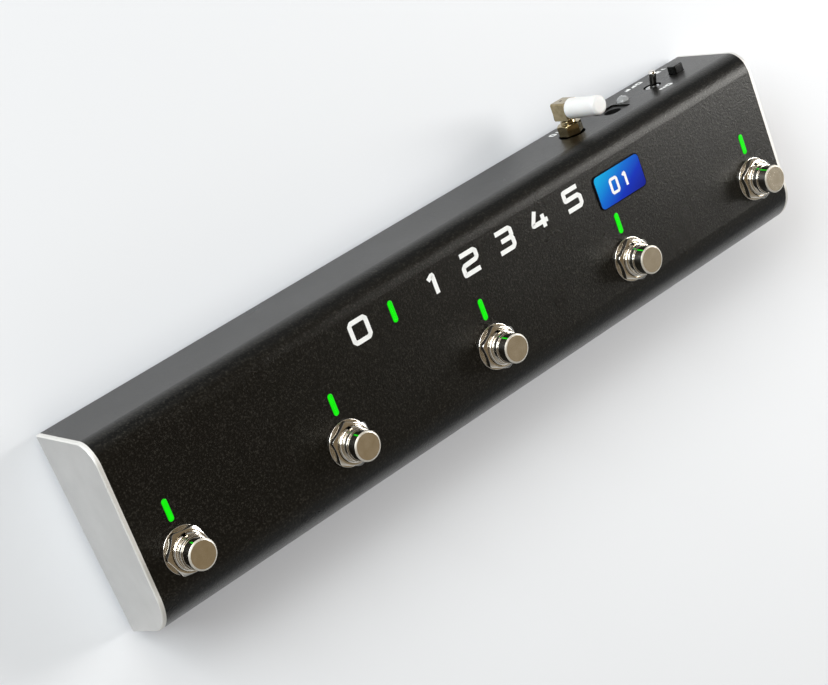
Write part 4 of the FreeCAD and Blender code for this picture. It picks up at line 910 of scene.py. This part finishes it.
def coupling_nut():
    """Hexagon nut with a flat shoulder and a thin collar."""
    flats, turn, start, top, trim = 8.0, -28.0, 0.35, 4.3, 0.12
    bore, neck, ceiling, collar, rise = 3.16, 2.26, 4.22, 2.75, 5.35
    angles = even_angles(144)
    full = hex_radius(flats, turn, flats / math.sqrt(3) * 0.985)

    def drop(shrink):
        return lambda a: top - max(0.0, full(a) - shrink - 3.85) * 0.58
    rings = [(bore, start), (lambda a: full(a) - trim, start), (full, start + trim),
             (full, lambda a: drop(0)(a) - trim), (lambda a: full(a) - trim, drop(trim)), (3.5, top),
             (collar + 0.1, top), (collar, top + 0.1), (collar, rise - 0.2),
             (collar - 0.06, rise - 0.06), (collar - 0.2, rise), (neck + 0.04, rise),
             (neck, ceiling), (bore, ceiling)]
    shape = Shape().stack([polar(r, h, angles) for r, h in rings], on_rear(ANTENNA_X), closed=True)
    piece("antenna_nut_dressed", shape, "housing", [BRASS], ["antenna_nut"], sharp=24)


def elbow_and_sheath():
    """Right-angle block with its neck and spigot, and the white sheath that leans on it."""
    start, depth, half, below, above, cut = 6.25, 6.45, 3.5, 2.85, 4.4, 0.5
    rear = depth / 2
    outline = soften([(-half, -rear), (half, -rear), (half, rear - cut), (half - cut, rear),
                      (-half + cut, rear), (-half, rear - cut)], [0.08] * 6, 3)
    steps = [(cut + 0.03, -below), (cut - 0.04, 0.04 - below), (0.03, cut - below - 0.03),
             (0.0, cut - below + 0.05), (0.0, above - 0.12), (0.04, above - 0.03), (0.12, above)]
    rings = [ring(inset(outline, shrink) if shrink else outline, h) for shrink, h in steps]
    block = PANEL @ Matrix.Translation((ANTENNA_X, REAR_REACH + start + rear, REAR_ROW_N))
    shape = Shape().stack(rings, block)
    shape.lathe([(0, 0.66), (0.5, 0.66), (0.5, 3.66), (2.8, 3.66), (2.8, 4.16), (2.2, 4.16),
                 (2.2, 6.6), (0, 6.6)], on_rear(ANTENNA_X), count=64)
    lean, setback, spigot, spigot_top = math.radians(3.0), 9.67, 1.8, 8.0
    place = PANEL @ Matrix.Translation((ANTENNA_X, REAR_REACH + setback, REAR_ROW_N + above))
    place = place @ Matrix.Rotation(-lean, 4, "X")
    shape.lathe([(0, -0.5), (spigot, -0.5), (spigot, spigot_top - 0.1), (spigot - 0.1, spigot_top),
                 (0, spigot_top)], place, count=48)
    piece("antenna_elbow_dressed", shape, "antenna", [BRASS], ["antenna_elbow"],
          sharp=24)
    pit = Shape().lathe([(0, -0.1), (0.52, -0.1), (0.52, 0.015), (0.46, 0.03), (0, 0.03)],
                        on_rear(ANTENNA_X - 0.4, REAR_ROW_N + 0.3, REAR_REACH + start + depth),
                        count=24)
    piece("antenna_elbow_pit", pit, "antenna", [DARK])

    base, tip, height, hollow, angles = 3.7, 3.45, 15.4, 1.86, even_angles(144)
    skin = soften([(base, 0.0), (tip, height), (0, height)], [0, 1.2, 0], 10, False)[1:]
    foot = [(hollow, 0.0), (base - 0.1, 0.0), (base - 0.01, 0.08), (base - 0.01, 0.42),
            (base - 0.08, 0.46), (base - 0.08, 0.53), (base - 0.015, 0.57)]

    def level(r, h):
        """Height on the leaning axis of a ring that lies level at the foot."""
        return lambda a: h + r * math.sin(a) * math.tan(lean)
    rings = [polar(r, spigot_top + 0.06, angles) for r in (0, hollow)]
    rings += [polar(r, level(r, h), angles) for r, h in foot]
    rings += [polar(r, h, angles) for r, h in skin]
    piece("antenna_sheath_dressed", Shape().stack(rings, place, caps=(False, False)), "antenna",
          [SHEATH], ["antenna_sheath"], sharp=30)


coupling_nut()
elbow_and_sheath()


# Floor, lights and camera

def stage_floor():
    """Pale floor that shows as such to the camera and in reflections and keeps the shadow."""
    mesh = bpy.data.meshes.new("floor")
    side = 12.0
    mesh.from_pydata([(x, y, 0) for x, y in rectangle(side, side)], [], [(0, 1, 2, 3)])
    p = Paint("floor_paper", Roughness=0.75, Specular_IOR_Level=0.2)
    cloud = p.noise(700, 2, 0.5)
    p.use(Base_Color=p.mottled(cloud, (0.73, 0.735, 0.74), (0.76, 0.765, 0.77)))
    rays = p.node("ShaderNodeLightPath")
    seen = p.maths("MAXIMUM", rays.outputs["Is Camera Ray"], rays.outputs["Is Glossy Ray"])
    seen = p.maths("MAXIMUM", seen, rays.outputs["Is Transmission Ray"])
    glow = p.node("ShaderNodeEmission", {"Color": (0.042, 0.055, 0.078, 1.0), "Strength": seen})
    both = p.node("ShaderNodeAddShader", {0: p.shader.outputs[0], 1: glow.outputs[0]})
    clear = p.node("ShaderNodeBsdfTransparent")
    back = p.node("ShaderNodeNewGeometry").outputs["Backfacing"]
    pick = p.node("ShaderNodeMixShader", {0: back, 1: both.outputs[0], 2: clear.outputs[0]})
    p.put(p.end.inputs[0], pick.outputs[0])
    mesh.materials.append(p.material)
    made = bpy.data.objects.new("floor", mesh)
    bpy.context.scene.collection.objects.link(made)
    made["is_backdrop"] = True


def area_light(name, where, target, size, power, tone):
    """Rectangular lamp in metres and watts, turned to a target."""
    data = bpy.data.lights.new(name, "AREA")
    data.shape = "RECTANGLE"
    data.size, data.size_y = size
    data.energy = power
    data.color = tone
    made = bpy.data.objects.new(name, data)
    made.location = where
    made.rotation_mode = "QUATERNION"
    made.rotation_quaternion = (Vector(target) - Vector(where)).to_track_quat("-Z", "Y")
    bpy.context.scene.collection.objects.link(made)


def world():
    """Studio surroundings by height, and a plain pale backdrop for the camera."""
    made = bpy.data.worlds.new("studio")
    made.use_nodes = True
    tree = made.node_tree
    tree.nodes.clear()
    place = tree.nodes.new("ShaderNodeTexCoord").outputs["Generated"]
    axes = tree.nodes.new("ShaderNodeSeparateXYZ")
    tree.links.new(place, axes.inputs[0])
    ramp = tree.nodes.new("ShaderNodeValToRGB")
    tree.links.new(axes.outputs[2], ramp.inputs[0])
    fill_ramp(ramp, ((0.0, (0.08, 0.09, 0.10)), (0.36, (0.30, 0.31, 0.32)),
                     (0.5, (0.56, 0.56, 0.55)), (0.62, (0.32, 0.30, 0.26)),
                     (0.78, (0.215, 0.17, 0.11)), (1.0, (0.185, 0.14, 0.085))))
    rays = tree.nodes.new("ShaderNodeLightPath")
    sky = tree.nodes.new("ShaderNodeMix")
    sky.data_type = "RGBA"
    tree.links.new(rays.outputs["Is Camera Ray"], sky.inputs[0])
    tree.links.new(ramp.outputs[0], sky.inputs[6])
    sky.inputs[7].default_value = (0.88, 0.89, 0.90, 1.0)
    back = tree.nodes.new("ShaderNodeBackground")
    tree.links.new(sky.outputs[2], back.inputs[0])
    end = tree.nodes.new("ShaderNodeOutputWorld")
    tree.links.new(back.outputs[0], end.inputs[0])
    bpy.context.scene.world = made


stage_floor()
world()
area_light("rear_left", (-1.4, 1.2, 1.0), (0, 0, 0), (1.2, 1.0), 40.0, (0.90, 0.96, 1.0))
area_light("rear", (-0.6, 1.5, 1.15), (0, 0, 0), (1.2, 1.0), 12.0, (1.0, 0.96, 0.92))
area_light("near", (0.67, 0.0, 0.50), (0, 0, 0.03), (0.34, 0.3), 3.8, (1.0, 0.99, 0.98))
area_light("right", (1.55, -0.15, 0.85), (0, 0, 0.02), (0.6, 0.6), 1.0, (0.80, 0.91, 1.0))


def camera():
    """Camera at the photograph's place, given in the panel frame."""
    place = Vector((-372.7, 232.65, 545.5))
    right = Vector((0.7295, -0.3407, 0.5931))
    down = Vector((-0.4617, -0.8850, 0.0596))
    turn = Matrix.Rotation(TILT, 3, "X")
    ahead = right.cross(down).normalized()
    down = ahead.cross(right).normalized()
    right = right.normalized()
    axes = Matrix([turn @ right, turn @ -down, turn @ -ahead]).transposed()
    data = bpy.data.cameras.new("camera")
    data.lens = 90.82
    data.sensor_width = 36.0
    data.clip_start = 0.01
    data.clip_end = 100.0
    made = bpy.data.objects.new("camera", data)
    made.matrix_world = Matrix.Translation(PANEL @ place) @ axes.to_4x4()
    bpy.context.scene.collection.objects.link(made)
    bpy.context.scene.camera = made


camera()
bpy.context.scene.view_settings.view_transform = "Standard"

low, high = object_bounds()
